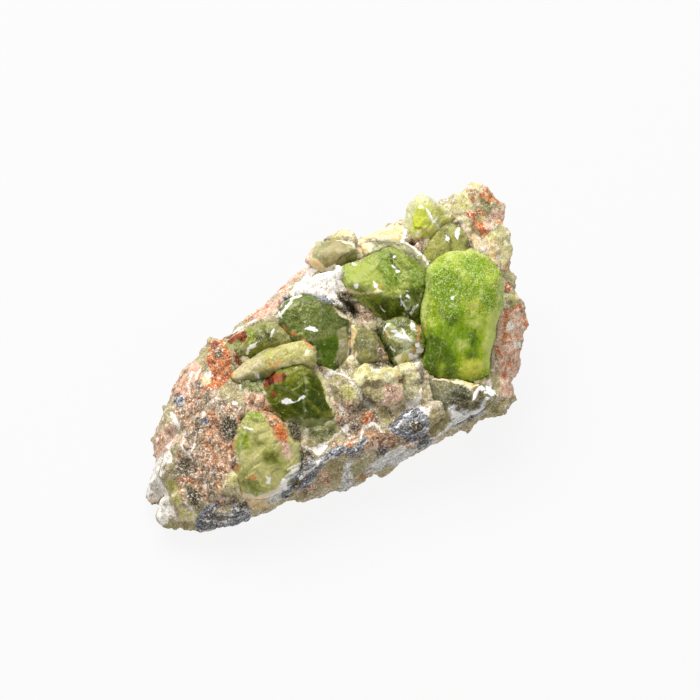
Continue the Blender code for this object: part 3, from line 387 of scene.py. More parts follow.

# Shades inside the crystals, outlined in the same way. They are partly painted light: pale marks pale places and
# faces lit from above with their mirrored sheen, deep marks deep green and faces in painted shade, glow is painted
# light inside, and glints are painted highlights.
CRYSTAL_PATCHES = {
    "vivid": [
        (428, 330, 440, 321, 452, 317, 463, 325, 461, 338, 456, 348, 458, 358, 450, 352, 440, 343, 431, 341),
        (430, 272, 440, 266, 452, 268, 462, 276, 465, 292, 458, 304, 446, 306, 436, 300, 429, 291, 426, 279),
        (444, 302, 456, 300, 466, 312, 460, 322, 448, 318),
        (461, 258, 474, 256, 484, 264, 488, 276, 480, 284, 470, 278, 462, 268),
        (484, 284, 494, 288, 496, 304, 488, 314, 480, 300),
        (462, 326, 474, 326, 480, 338, 476, 352, 464, 350, 458, 338),
        (408, 262, 418, 264, 426, 276, 424, 294, 414, 296, 408, 282),
        (372, 262, 384, 256, 394, 258, 402, 268, 400, 282, 388, 284, 380, 276),
        (464, 282, 476, 284, 480, 296, 472, 300, 462, 296),
        (377, 252, 384, 251, 391, 256, 397, 264, 402, 269, 396, 271, 388, 267, 381, 261),
        (383, 276, 392, 268, 402, 276, 398, 288, 386, 286),
        (411, 222, 415, 210, 422, 206, 428, 212, 431, 220, 432, 226, 425, 233, 416, 235, 410, 233),
        (311, 346, 317, 338, 326, 333, 337, 332, 341, 345, 337, 360, 334, 373, 325, 373, 319, 362, 314, 355),
        (383, 342, 388, 344, 394, 352, 397, 358, 392, 361, 386, 352, 382, 348),
        (376, 328, 384, 321, 391, 321, 386, 333, 378, 340),
        (294, 382, 304, 372, 314, 378, 320, 388, 326, 400, 330, 410, 320, 412, 306, 404, 296, 396),
        (300, 396, 312, 408, 322, 414, 318, 420, 304, 418, 292, 412, 290, 402),
        (237, 433, 246, 427, 253, 440, 251, 453, 241, 451, 236, 444),
        (244, 412, 256, 410, 270, 414, 272, 424, 258, 422, 246, 420),
        (249, 352, 262, 347, 275, 345, 283, 347, 276, 350, 266, 353, 256, 357, 250, 359),
        (248, 332, 256, 328, 258, 336, 252, 342, 247, 340),
        (263, 451, 275, 454, 281, 462, 272, 469, 263, 462),
        (247, 479, 258, 483, 263, 492, 254, 493, 247, 487),
    ],
    # Deep green, partly painted shade on faces turned from the light.
    "deep": [
        (425, 338, 432, 333, 439, 338, 444, 346, 452, 352, 456, 361, 449, 366, 441, 362, 436, 368, 440, 375, 430, 377,
         423, 370, 424, 352),
        (446, 366, 456, 364, 459, 372, 450, 378, 442, 377),
        (422, 362, 430, 360, 438, 366, 438, 377, 428, 376, 422, 371),
        (466, 352, 476, 350, 479, 358, 472, 363, 466, 360),
        (426, 338, 434, 335, 444, 342, 448, 354, 440, 358, 428, 352),
        (378, 324, 384, 320, 387, 326, 383, 334, 387, 342, 393, 350, 398, 358, 395, 362, 387, 356, 380, 344, 377, 334),
        (396, 346, 404, 348, 411, 350, 404, 355, 398, 352),
        (388, 254, 394, 256, 400, 266, 400, 274, 394, 268, 388, 262),
        (404, 292, 412, 288, 424, 286, 422, 304, 418, 318, 408, 318, 402, 306),
        (254, 430, 262, 430, 268, 434, 268, 442, 262, 446, 254, 444),
        (263, 452, 272, 450, 280, 454, 278, 462, 268, 462, 262, 458),
        (242, 478, 250, 476, 258, 482, 258, 490, 248, 488, 242, 484),
        (440, 309, 448, 313, 457, 315, 459, 322, 450, 326, 442, 320),
        (468, 336, 475, 330, 478, 338, 476, 350, 470, 346),
        (368, 300, 378, 297, 390, 298, 400, 297, 406, 293, 416, 290, 422, 285, 422, 300, 420, 312, 415, 321, 405, 318,
         398, 319, 388, 319, 378, 315, 372, 306),
        (338, 316, 345, 319, 350, 325, 348, 331, 342, 327),
        (372, 239, 380, 239, 395, 242, 405, 244, 402, 248, 388, 245, 377, 246),
        (404, 250, 412, 252, 420, 260, 416, 262, 408, 257),
        (440, 231, 446, 228, 451, 232, 448, 237, 453, 243, 450, 248, 445, 241, 441, 236),
        (442, 224, 452, 221, 460, 224, 460, 228, 450, 226, 442, 229),
        (462, 242, 468, 239, 471, 248, 464, 251),
        (434, 206, 441, 205, 444, 212, 438, 215, 434, 211),
        (282, 382, 292, 384, 298, 392, 304, 398, 296, 396, 284, 394, 280, 388),
        (310, 374, 319, 380, 324, 394, 330, 408, 326, 412, 318, 398, 311, 386),
        (272, 402, 284, 406, 296, 408, 308, 414, 318, 418, 310, 421, 292, 419, 278, 414, 270, 408),
        (255, 328, 265, 326, 269, 335, 263, 343, 256, 339),
        (266, 334, 276, 332, 280, 338, 272, 344, 266, 340),
        (284, 296, 292, 300, 300, 312, 304, 322, 298, 324, 290, 312),
        (325, 262, 330, 261, 331, 268, 326, 267),
        (450, 388, 460, 387, 470, 389, 471, 400, 460, 405, 450, 402),
        (421, 382, 430, 384, 432, 392, 426, 398, 421, 392),
        (376, 344, 381, 350, 384, 357, 378, 358, 375, 350),
        (289, 424, 298, 424, 301, 434, 299, 442, 292, 442),
        (340, 350, 347, 350, 347, 366, 340, 370),
        (398, 332, 404, 335, 400, 336, 392, 333),
        (390, 322, 398, 319, 406, 322, 404, 328, 394, 327),
    ],
    # Pale places, partly painted light: faces lit from above, and sheen mirrored on upward faces.
    "pale": [
        (487, 316, 493, 309, 499, 304, 500, 320, 497, 335, 494, 350, 491, 366, 487, 373, 484, 366, 485, 348, 486, 332),
        (466, 322, 482, 318, 483, 326, 474, 328),
        (458, 341, 466, 340, 468, 346, 460, 350),
        (421, 312, 424, 297, 427, 302, 427, 320, 424, 331, 420, 326),
        (440, 257, 452, 251, 466, 249, 478, 251, 489, 258, 480, 256, 466, 253, 452, 255),
        (497, 276, 502, 282, 502, 298, 498, 302),
        (342, 279, 345, 268, 354, 262, 364, 258, 374, 255, 381, 262, 379, 272, 383, 282, 376, 291, 362, 292, 350, 290,
         344, 285),
        (348, 293, 360, 294, 366, 299, 370, 306, 362, 304, 355, 298),
        (415, 200, 418, 193, 425, 194, 437, 199, 449, 204, 440, 206, 430, 203, 423, 204),
        (401, 224, 407, 212, 413, 202, 417, 203, 413, 215, 411, 225, 409, 236, 402, 236),
        (430, 216, 436, 218, 444, 226, 440, 230, 432, 224),
        (309, 336, 318, 331, 330, 327, 336, 332, 325, 337, 315, 342),
        (289, 300, 296, 298, 300, 304, 292, 312, 286, 312),
        (240, 344, 246, 345, 243, 353, 241, 359, 236, 351, 230, 351, 228, 345),
        (266, 321, 281, 319, 286, 330, 291, 338, 284, 345, 276, 342, 270, 332),
        (231, 372, 238, 366, 252, 361, 262, 357, 263, 365, 254, 371, 246, 376, 240, 380),
        (243, 420, 256, 424, 268, 428, 272, 440, 260, 440, 252, 430),
        (244, 454, 260, 456, 266, 468, 280, 470, 284, 480, 270, 488, 262, 480, 250, 474),
        (288, 440, 296, 440, 300, 446, 300, 461, 294, 467, 288, 462),
        (320, 377, 333, 384, 341, 400, 342, 408, 335, 410, 328, 394),
        (424, 240, 434, 236, 440, 244, 436, 258, 424, 258),
        (247, 450, 262, 448, 264, 462, 274, 466, 262, 474, 248, 470),
        (270, 462, 282, 468, 284, 478, 272, 478),
        (288, 441, 298, 442, 300, 458, 294, 466, 288, 462),
        (391, 333, 400, 330, 407, 333, 411, 338, 414, 341, 409, 346, 404, 346, 398, 341, 392, 338),
        (408, 346, 414, 346, 412, 352, 400, 352),
        (356, 330, 366, 328, 370, 344, 360, 352),
        (430, 396, 446, 396, 446, 406, 432, 410),
    ],
    # Painted glow: light glowing inside the crystals.
    "glow": [
        (471, 301, 477, 299, 480, 305, 478, 311, 472, 314, 468, 308),
        (462, 361, 476, 358, 486, 364, 484, 374, 470, 377, 460, 373),
        (414, 222, 420, 214, 426, 216, 428, 226, 420, 231),
        (290, 346, 304, 344, 311, 350, 314, 360, 304, 362, 292, 356),
        (390, 300, 398, 300, 396, 308, 390, 310),
        (375, 298, 382, 299, 380, 304, 374, 302),
    ],
    "clear": [
        (426, 322, 440, 318, 462, 320, 484, 316, 497, 312, 496, 335, 492, 360, 487, 376, 430, 377, 422, 370, 424, 345),
        (366, 296, 384, 296, 404, 296, 422, 290, 420, 316, 380, 318, 370, 306),
        (346, 268, 366, 263, 382, 268, 382, 282, 364, 289, 350, 285),
        (270, 384, 300, 372, 320, 380, 330, 408, 318, 420, 280, 416, 270, 400),
        (318, 340, 340, 334, 346, 350, 338, 372, 324, 372),
        (240, 430, 270, 420, 290, 440, 296, 470, 270, 488, 246, 470),
        (376, 324, 386, 320, 385, 340, 398, 358, 390, 362, 378, 344),
        (411, 208, 428, 212, 434, 230, 412, 236),
    ],
    # Painted highlights: white glints of light on the facets.
    "glint": [
        (303, 328, 309, 326, 314, 327, 318, 331, 314, 332, 308, 330),
        (245, 352, 249, 347, 254, 343, 256, 342, 256, 346, 250, 349, 247, 353),
        (282, 400, 288, 397, 294, 400, 304, 396, 306, 397, 296, 402, 286, 404, 282, 403),
        (456, 229, 459, 228, 460, 236, 457, 240, 455, 235),
        (446, 236, 449, 238, 449, 243, 446, 240),
        (390, 331, 396, 331, 402, 335, 407, 340, 403, 340, 396, 337),
        (401, 328, 405, 331, 412, 341, 410, 342, 404, 336),
        (411, 321, 415, 325, 417, 331, 414, 330, 410, 325),
        (386, 324, 390, 322, 391, 325, 387, 328),
        (388, 343, 393, 347, 397, 354, 391, 349),
        (415, 343, 419, 342, 420, 345, 417, 347),
        (406, 294, 411, 298, 409, 300, 405, 297),
        (355, 284, 359, 284, 359, 288, 355, 288),
        (373, 281, 378, 285, 378, 290, 374, 288),
        (306, 351, 309, 352, 307, 355, 305, 353),
        (418, 206, 422, 205, 423, 209, 419, 209),
        (451, 297, 454, 296, 454, 300, 451, 300),
        (409, 326, 412, 325, 415, 331, 412, 331),
        (393, 256, 396, 256, 396, 259, 393, 259),
        (396, 270, 400, 270, 400, 273, 396, 273),
    ],
}

# Thin veins, seams and scratches: width, then the points they run through.
VEINS = {
    "white": [
        (2.4, 407, 244, 416, 251, 424, 258, 429, 264, 431, 269), (1.4, 281, 316, 286, 308, 292, 299, 300, 296),
        (1.6, 325, 375, 335, 374, 344, 375, 349, 380), (1.6, 345, 376, 350, 381, 355, 386, 359, 393, 364, 400),
        (1.8, 419, 372, 421, 380, 421, 390, 420, 398), (2.0, 361, 438, 363, 430, 368, 425, 374, 423, 379, 426, 382, 432),
        (1.2, 287, 470, 297, 464, 306, 462, 318, 462, 330, 454), (1.3, 300, 478, 312, 470, 320, 464, 334, 457),
        (1.4, 396, 428, 404, 418, 412, 411), (1.3, 206, 510, 212, 506, 216, 509, 213, 513, 222, 516, 232, 514),
        (1.2, 200, 522, 212, 520, 224, 522, 234, 518), (1.4, 232, 509, 240, 507, 248, 512), (1.5, 184, 498, 188, 506, 193, 513),
        (1.2, 345, 460, 348, 468, 343, 478), (1.0, 386, 455, 400, 448, 410, 444, 420, 441), (1.2, 178, 432, 170, 446, 166, 456),
        (1.0, 240, 381, 240, 390), (1.2, 484, 393, 494, 391), (1.4, 445, 430, 437, 437, 428, 440), (1.2, 429, 410, 429, 416),
        (1.0, 202, 366, 196, 376, 194, 388), (1.0, 192, 372, 188, 384, 190, 396), (1.3, 310, 449, 304, 446, 300, 443),
        (1.0, 186, 430, 182, 444, 184, 456), (1.0, 196, 430, 194, 446, 190, 458)],
    "cream": [
        (2.0, 343, 286, 350, 291, 360, 293, 370, 292, 380, 291), (2.2, 414, 234, 424, 230, 434, 229), (2.0, 330, 440, 340, 432),
        (1.6, 352, 400, 360, 404), (1.8, 372, 405, 384, 404, 396, 408, 404, 402), (1.6, 402, 380, 401, 390, 404, 400),
        (1.6, 390, 338, 384, 328), (1.5, 357, 350, 356, 362), (2.2, 424, 376, 434, 379, 446, 380), (1.6, 333, 412, 338, 420),
        (1.6, 460, 383, 470, 389, 478, 386), (2.0, 455, 214, 462, 222, 466, 232), (1.6, 349, 380, 353, 378)],
    "rust": [
        (1.1, 281, 324, 287, 330, 293, 333, 300, 337, 305, 341, 312, 348), (1.0, 418, 326, 418, 338, 415, 348, 410, 354),
        (1.4, 399, 376, 402, 382), (1.2, 366, 476, 358, 479, 350, 480), (1.2, 371, 468, 372, 474), (1.2, 156, 430, 160, 420),
        (1.4, 247, 322, 256, 313, 268, 305), (1.2, 374, 286, 384, 287), (1.2, 200, 372, 192, 392, 186, 408),
        (1.2, 207, 388, 198, 398, 190, 410), (1.0, 196, 365, 186, 380, 178, 394), (1.0, 180, 376, 172, 392),
        (1.4, 233, 372, 222, 382, 210, 392), (1.2, 238, 416, 234, 430), (1.4, 262, 404, 270, 411, 277, 420),
        (1.0, 210, 410, 214, 422, 212, 434), (1.0, 204, 440, 212, 452, 214, 466), (1.0, 222, 440, 230, 452),
        (1.2, 176, 480, 186, 478, 194, 484), (1.0, 247, 477, 252, 476), (1.2, 236, 440, 234, 450)],
    # Dark lines: painted shadow in the gaps under ledges and between crystals, and dark fibres of the vein.
    "dark": [
        (1.6, 300, 304, 312, 302, 326, 304, 333, 306), (1.2, 374, 320, 384, 318, 398, 318, 412, 320), (1.0, 376, 326, 374, 336, 380, 346),
        (1.2, 338, 372, 338, 362), (1.1, 286, 478, 296, 472, 304, 470, 314, 464), (1.2, 296, 486, 306, 476, 318, 468),
        (1.2, 346, 455, 356, 458, 364, 452), (1.2, 400, 428, 410, 424, 422, 424), (1.1, 204, 525, 216, 524, 228, 526),
        (1.1, 206, 514, 220, 519, 234, 517), (1.0, 404, 376, 401, 381), (1.2, 390, 411, 396, 418, 390, 424),
        (1.0, 240, 416, 236, 424, 237, 434), (1.1, 352, 430, 362, 424), (1.0, 422, 378, 422, 384), (1.0, 490, 372, 486, 380),
        (1.1, 194, 394, 200, 392), (1.0, 172, 470, 178, 474, 186, 476)],
    # Pale streaks; a few of them are painted glints.
    "pale": [
        (1.0, 248, 427, 254, 430), (0.9, 236, 438, 246, 430), (0.9, 252, 432, 250, 444), (0.9, 288, 300, 300, 310, 302, 318),
        (0.9, 396, 262, 404, 272, 412, 280), (0.9, 402, 258, 414, 268, 420, 276), (1.0, 430, 268, 428, 284, 427, 300),
        (0.9, 487, 322, 486, 340, 488, 360), (0.9, 491, 316, 490, 336, 491, 352), (0.9, 318, 352, 322, 362, 326, 370),
        (0.9, 256, 330, 268, 338), (0.9, 262, 342, 274, 334), (0.9, 302, 374, 310, 388), (0.9, 296, 376, 300, 384),
        (0.9, 306, 400, 318, 410), (0.9, 404, 300, 408, 308), (0.9, 410, 300, 416, 312), (0.9, 408, 306, 404, 314),
        (1.0, 434, 214, 440, 222), (0.9, 278, 322, 284, 334), (0.9, 273, 324, 278, 332)],
    # Painted highlights: thin glints of light.
    "glint": [(0.7, 400, 297, 404, 303), (0.4, 403, 303, 407, 308), (0.5, 411, 314, 417, 305),
              (0.4, 408, 309, 411, 304), (0.3, 404, 312, 408, 316), (0.5, 381, 305, 385, 311),
              (1.0, 351, 262, 355, 266), (0.5, 392, 266, 399, 271),
              (1.6, 427, 209, 430, 214, 432, 220, 438, 227), (1.2, 243, 426, 252, 430), (1.0, 270, 336, 274, 330),
              (1.0, 383, 334, 388, 326), (1.0, 402, 304, 406, 300), (1.0, 410, 313, 414, 306)],
}

# Small shifts that bring the forms to where they are seen: place on the picture, shift to the right and up in
# pixels, and how far around the place the shift reaches. Those of the foot slide along the floor.
SHIFTS = [
    (350, 264, -8, 2, 10), (350, 277, -10, 0, 10), (353, 290, -9, -2, 10), (418, 197, 0, 5, 13), (394, 220, 0, -4, 9), (318, 243, -4, 4, 12), (345, 233, 0, 3, 12),
    (455, 193, 0, 4, 10), (474, 187, 0, 5, 10), (486, 189, 1, 5, 10), (460, 248, 2, -3, 9), (503, 210, 4, 2, 12), (522, 284, -8, 0, 14), (450, 228, 0, 4, 12),
    (419, 290, 2, 0, 14), (419, 345, 6, 0, 18), (508, 290, -4, 0, 14), (506, 325, -7, 0, 16), (501, 355, -7, 0, 16),
    (455, 383, 0, 4, 14), (440, 382, 0, 4, 12), (395, 362, 0, -4, 10), (334, 364, 0, -7, 12), (149, 452, 4, 0, 10), (151, 500, -5, 0, 13),
    (156, 518, -4, 0, 12), (500, 270, -3, -2, 12)]
FOOT_SHIFTS = [
    (195, 540, 0, 7, 16), (220, 538, 0, 11, 18), (250, 528, 0, 7, 16), (281, 514, 0, 9, 17), (306, 507, 0, 6, 15),
    (328, 499, 0, 3, 12)]

# Looks of the crystals: colours of the body, how much light passes, how rough the smooth and the frosted
# places are, how frosted it is, the absorbed colour and its strength, how deep its small broken facets go and
# how far its corners are eased, and the way its growth lines run, in degrees on the picture.
# The pale and deep colours are partly painted light and shade on the faces, and glow is painted light inside.
CRYSTAL_LOOKS = {
    "big_green_crystal": dict(
        middle=(0.48, 0.63, 0.012), deep=(0.09, 0.18, 0.002), pale=(0.87, 0.93, 0.22), vivid=(0.26, 0.46, 0.001),
        glow=(0.97, 0.95, 0.11), passes=0.45, smooth=0.12, frosted=0.38, frost=0.75,
        absorbs=(0.80, 0.90, 0.08), strength=150, facets=0.05, easing=26, lines=82),
    "shouldered_crystal": dict(
        middle=(0.38, 0.43, 0.055), deep=(0.060, 0.085, 0.001), pale=(0.54, 0.63, 0.11), vivid=(0.20, 0.33, 0.012),
        glow=(0.28, 0.34, 0.002), passes=0.45, smooth=0.10, frosted=0.38, frost=0.45,
        absorbs=(0.82, 0.88, 0.15), strength=170, facets=0.13, easing=6, lines=-48),
    "grey_glassy_crystal": dict(
        middle=(0.61, 0.57, 0.31), deep=(0.13, 0.13, 0.038), pale=(0.96, 0.87, 0.57), vivid=(0.47, 0.48, 0.17),
        glow=(0.77, 0.70, 0.41), passes=0.45, smooth=0.10, frosted=0.38, frost=0.35,
        absorbs=(0.86, 0.88, 0.45), strength=150, facets=0.10, easing=5, lines=-40),
    "lime_crystal": dict(
        middle=(0.97, 0.97, 0.29), deep=(0.41, 0.38, 0.062), pale=(0.94, 0.91, 0.66), vivid=(0.74, 0.84, 0.045),
        glow=(0.88, 0.93, 0.08), passes=0.45, smooth=0.12, frosted=0.40, frost=0.35,
        absorbs=(0.93, 0.94, 0.30), strength=110, facets=0.30, easing=2, lines=60),
    "smoky_crystal": dict(
        middle=(0.55, 0.53, 0.15), deep=(0.11, 0.10, 0.013), pale=(0.52, 0.51, 0.081), vivid=(0.40, 0.42, 0.056),
        glow=(0.66, 0.63, 0.14), passes=0.45, smooth=0.10, frosted=0.42, frost=0.40,
        absorbs=(0.87, 0.89, 0.35), strength=160, facets=0.12, easing=5, lines=-60),
    "rear_rounded_crystal": dict(
        middle=(0.97, 0.97, 0.62), deep=(0.43, 0.40, 0.18), pale=(0.97, 0.97, 0.97), vivid=(0.97, 0.95, 0.36),
        glow=(0.97, 0.97, 0.88), passes=0.30, smooth=0.20, frosted=0.50, frost=0.60,
        absorbs=(0.88, 0.90, 0.50), strength=150, facets=0.14, easing=4, lines=20),
    "dark_slab_crystal": dict(
        middle=(0.17, 0.22, 0.035), deep=(0.105, 0.13, 0.020), pale=(0.31, 0.35, 0.065), vivid=(0.10, 0.20, 0.001),
        glow=(0.37, 0.41, 0.057), passes=0.45, smooth=0.08, frosted=0.36, frost=0.40,
        absorbs=(0.76, 0.84, 0.25), strength=190, facets=0.14, easing=4, lines=-58),
    "round_glossy_crystal": dict(
        middle=(0.34, 0.36, 0.035), deep=(0.035, 0.050, 0.001), pale=(0.97, 0.97, 0.57), vivid=(0.085, 0.14, 0.002),
        glow=(0.72, 0.66, 0.17), passes=0.45, smooth=0.06, frosted=0.28, frost=0.30,
        absorbs=(0.80, 0.86, 0.30), strength=170, facets=0.22, easing=4, lines=50),
    "narrow_olive_crystal": dict(
        middle=(0.38, 0.34, 0.09), deep=(0.11, 0.11, 0.023), pale=(0.20, 0.19, 0.041), vivid=(0.24, 0.25, 0.04),
        glow=(0.46, 0.43, 0.13), passes=0.30, smooth=0.16, frosted=0.46, frost=0.55,
        absorbs=(0.85, 0.87, 0.45), strength=170, facets=0.10, easing=5, lines=80),
    "dark_lower_crystal": dict(
        middle=(0.23, 0.25, 0.015), deep=(0.085, 0.115, 0.001), pale=(0.40, 0.40, 0.035), vivid=(0.030, 0.072, 0.001),
        glow=(0.46, 0.46, 0.038), passes=0.45, smooth=0.08, frosted=0.38, frost=0.35,
        absorbs=(0.72, 0.80, 0.15), strength=190, facets=0.20, easing=3, lines=-35),
    "pale_ledge_crystal": dict(
        middle=(0.59, 0.54, 0.15), deep=(0.31, 0.29, 0.076), pale=(0.72, 0.59, 0.32), vivid=(0.15, 0.15, 0.038),
        glow=(0.63, 0.58, 0.15), passes=0.25, smooth=0.22, frosted=0.50, frost=0.55,
        absorbs=(0.93, 0.93, 0.50), strength=140, facets=0.08, easing=2, lines=25),
    "spotted_crystal": dict(
        middle=(0.37, 0.37, 0.084), deep=(0.053, 0.07, 0.005), pale=(0.50, 0.49, 0.16), vivid=(0.29, 0.35, 0.022),
        glow=(0.47, 0.44, 0.14), passes=0.40, smooth=0.10, frosted=0.38, frost=0.40,
        absorbs=(0.82, 0.87, 0.30), strength=170, facets=0.20, easing=3, lines=70),
    "low_light_green_crystal": dict(
        middle=(0.60, 0.56, 0.18), deep=(0.22, 0.23, 0.037), pale=(0.76, 0.70, 0.27), vivid=(0.27, 0.36, 0.02),
        glow=(0.60, 0.57, 0.19), passes=0.38, smooth=0.12, frosted=0.44, frost=0.45,
        absorbs=(0.88, 0.91, 0.35), strength=140, facets=0.20, easing=4, lines=-50),
    "dark_foot_crystal": dict(
        middle=(0.22, 0.18, 0.094), deep=(0.044, 0.037, 0.013), pale=(0.17, 0.18, 0.058), vivid=(0.16, 0.15, 0.054),
        glow=(0.31, 0.27, 0.11), passes=0.28, smooth=0.18, frosted=0.46, frost=0.50,
        absorbs=(0.82, 0.83, 0.45), strength=170, facets=0.07, easing=4, lines=40),
}

# How far some crystals grow beyond their solid, in millimetres; the others take the shared growth.
CRYSTAL_GROWTH = {"big_green_crystal": 0.06, "pale_ledge_crystal": 0.16, "dark_lower_crystal": 0.34, 
                  "lime_crystal": 0.10, "dark_slab_crystal": 0.12}

CLEAR_CRYSTALS = ["big_green_crystal", "shouldered_crystal", "lime_crystal", "low_light_green_crystal"]
DARK_CRYSTALS = ["dark_slab_crystal", "round_glossy_crystal", "dark_lower_crystal", "spotted_crystal",
                 "dark_foot_crystal"]
CLOUDY_CRYSTALS = ["grey_glassy_crystal", "smoky_crystal", "rear_rounded_crystal", "narrow_olive_crystal",
                   "pale_ledge_crystal"]

# Crystals that carry no crust.
BARE_CRYSTALS = ["big_green_crystal"]

# Kinds of patch in the order in which they lie over the body, and how soft each one's rim is, in pixels.
# The pale, deep and glow patches are partly painted light: lit faces, faces in shade and light inside.
BODY_KINDS = {"vivid": 3.5, "deep": 3.0, "pale": 3.5, "glow": 3.0}
# The dark kind of crust is painted shade in hollows and gaps.
CRUST_KINDS = {"olive": 1.0, "smoke": 1.2, "green": 1.0, "moss": 1.4, "yellow": 1.0, "cream": 1.0, "pink": 1.4, "teal": 1.2,
               "brown": 2.2, "ember": 2.6, "blue": 0.9, "rust": 0.8, "maroon": 0.6, "white": 0.7, "dark": 2.0}

# How many patches of each kind lie on the sides that the picture doesn't show, and their radius there.
HIDDEN_PATCHES = {"olive": 40, "smoke": 16, "green": 12, "moss": 10, "yellow": 12, "cream": 20, "pink": 30, "teal": 10,
                  "blue": 14, "brown": 34, "ember": 24, "rust": 12, "maroon": 5, "white": 14, "dark": 8}
HIDDEN_RADIUS = (0.9 * MM, 3.2 * MM)

# Kinds of the rock that are small clear grains; the others are crumbly.
GLASSY_KINDS = ["olive", "smoke", "green", "moss", "yellow", "cream"]

FAR_OUTSIDE = -8.0


def colour(name, words, default):
    return bpy.props.FloatVectorProperty(
        name=name, description=words, default=default, min=0, max=1, size=3, subtype="COLOR")


def length(name, words, default):
    return bpy.props.FloatProperty(
        name=name, description=words, default=default, min=0, unit="LENGTH", precision=5)


class CrustSettings(bpy.types.PropertyGroup):
    """Colours of the small grains, stains and crusts, and of the painted shade in hollows."""

    olive_dark: colour("Olive, dark", "Deeper part of the small olivine grains", (0.30, 0.25, 0.097))
    olive_light: colour("Olive, light", "Lighter part of the small olivine grains", (0.45, 0.39, 0.21))
    smoke_dark: colour("Smoke, dark", "Deeper part of the greyish grains", (0.21, 0.20, 0.063))
    smoke_light: colour("Smoke, light", "Lighter part of the greyish grains", (0.48, 0.44, 0.26))
    green_dark: colour("Green, dark", "Deeper part of the light green grains", (0.44, 0.41, 0.077))
    green_light: colour("Green, light", "Lighter part of the light green grains", (0.65, 0.59, 0.36))
    moss_dark: colour("Moss, dark", "Deeper part of the dark green grains", (0.11, 0.13, 0.025))
    moss_light: colour("Moss, light", "Lighter part of the dark green grains", (0.36, 0.37, 0.15))
    yellow_dark: colour("Yellow, dark", "Deeper part of the yellow grains", (0.52, 0.47, 0.14))
    yellow_light: colour("Yellow, light", "Lighter part of the yellow grains", (0.82, 0.76, 0.48))
    cream_dark: colour("Cream, dark", "Deeper part of the cream crust", (0.87, 0.64, 0.30))
    cream_light: colour("Cream, light", "Lighter part of the cream crust", (0.75, 0.68, 0.56))
    pink_dark: colour("Pink, dark", "Deeper part of the pinkish rock", (0.65, 0.30, 0.15))
    pink_light: colour("Pink, light", "Lighter part of the pinkish rock", (0.79, 0.62, 0.52))
    teal_dark: colour("Teal, dark", "Deeper part of the grey-green crust", (0.26, 0.26, 0.22))
    teal_light: colour("Teal, light", "Lighter part of the grey-green crust", (0.97, 0.97, 0.97))
    brown_dark: colour("Brown, dark", "Dark crumbs of the brown rock", (0.11, 0.072, 0.039))
    brown_light: colour("Brown, light", "Light crumbs of the brown rock", (0.58, 0.43, 0.29))
    ember_dark: colour("Ember, dark", "Dark crumbs of the orange-brown rock", (0.13, 0.054, 0.024))
    ember_light: colour("Ember, light", "Light crumbs of the orange-brown rock", (0.71, 0.43, 0.24))
    blue_dark: colour("Blue, dark", "Dark fibres of the vein", (0.043, 0.05, 0.082))
    blue_middle: colour("Blue, middle", "Steel-blue fibres of the vein", (0.12, 0.18, 0.28))
    blue_light: colour("Blue, light", "Light fibres of the vein", (0.84, 0.80, 0.76))
    rust_dark: colour("Rust, dark", "Dark rust", (0.33, 0.05, 0.01))
    rust_light: colour("Rust, light", "Orange rust", (0.78, 0.30, 0.10))
    maroon_dark: colour("Maroon, dark", "Dark part of the red-brown inclusions", (0.059, 0.006, 0.002))
    maroon_light: colour("Maroon, light", "Light part of the red-brown inclusions", (0.30, 0.065, 0.02))
    white_dark: colour("White, dark", "Soiled part of the chalky crust", (0.66, 0.56, 0.41))
    white_light: colour("White, light", "Clean part of the chalky crust", (0.95, 0.92, 0.88))
    # Painted shade of the hollows and gaps: its darker and its lighter part.
    dark_dark: colour("Hollow, dark", "Dark inside of a hollow", (0.031, 0.028, 0.009))
    dark_light: colour("Hollow, light", "Lit part inside a hollow", (0.31, 0.24, 0.14))


class RockSettings(bpy.types.PropertyGroup):
    """Sizes and colours of the host rock."""

    fineness: length("Fineness", "Size of the fine mesh's faces", 0.29 * MM)
    grain_size: length("Grain size", "Width of the small grains that the rock is made of", 1.5 * MM)
    grain_relief: length("Grain relief", "How far a small grain stands out of its seams", 0.10 * MM)
    facet_relief: length("Facet relief", "How far the small broken facets lean", 0.18 * MM)
    break_relief: length("Break relief", "Height of the rough break over several grains", 0.15 * MM)
    fibre_relief: length("Fibre relief", "Height of the vein's fibres", 0.30 * MM)
    seam_rise: length("Seam rise", "How far the rock climbs along a crystal's foot", 0.60 * MM)
    seam_colour: colour("Seam", "Pale seam along a crystal's foot", (0.90, 0.83, 0.60))
    # Painted light: the rock under the crystals is pale, for light scattered back inside them.
    pocket: colour("Pocket", "Rock under the crystals", (0.85, 0.87, 0.52))


class CrystalSettings(bpy.types.PropertyGroup):
    """Sizes shared by all the crystals."""

    fineness: length("Fineness", "Size of the fine mesh's faces", 0.15 * MM)
    growth: length("Growth", "How far a crystal grows into the rock's seam", 0.20 * MM)
    swell: length("Swell", "How far a face bows in and out", 0.08 * MM)
    chips: length("Chips", "How deep the chips along the edges go", 0.22 * MM)
    etching: length("Etching", "Height of the fine etching on the faces", 0.03 * MM)
    gloss: bpy.props.FloatProperty(
        name="Gloss", description="How strongly the crystals mirror their surroundings", default=0.12, min=0, max=1)
    gloss_tint: colour("Gloss tint", "Colour of what the crystals mirror", (0.60, 0.66, 0.22))
    bends_light: bpy.props.FloatProperty(
        name="Index of refraction", description="How much the crystals bend light", default=1.65, min=1, max=3)


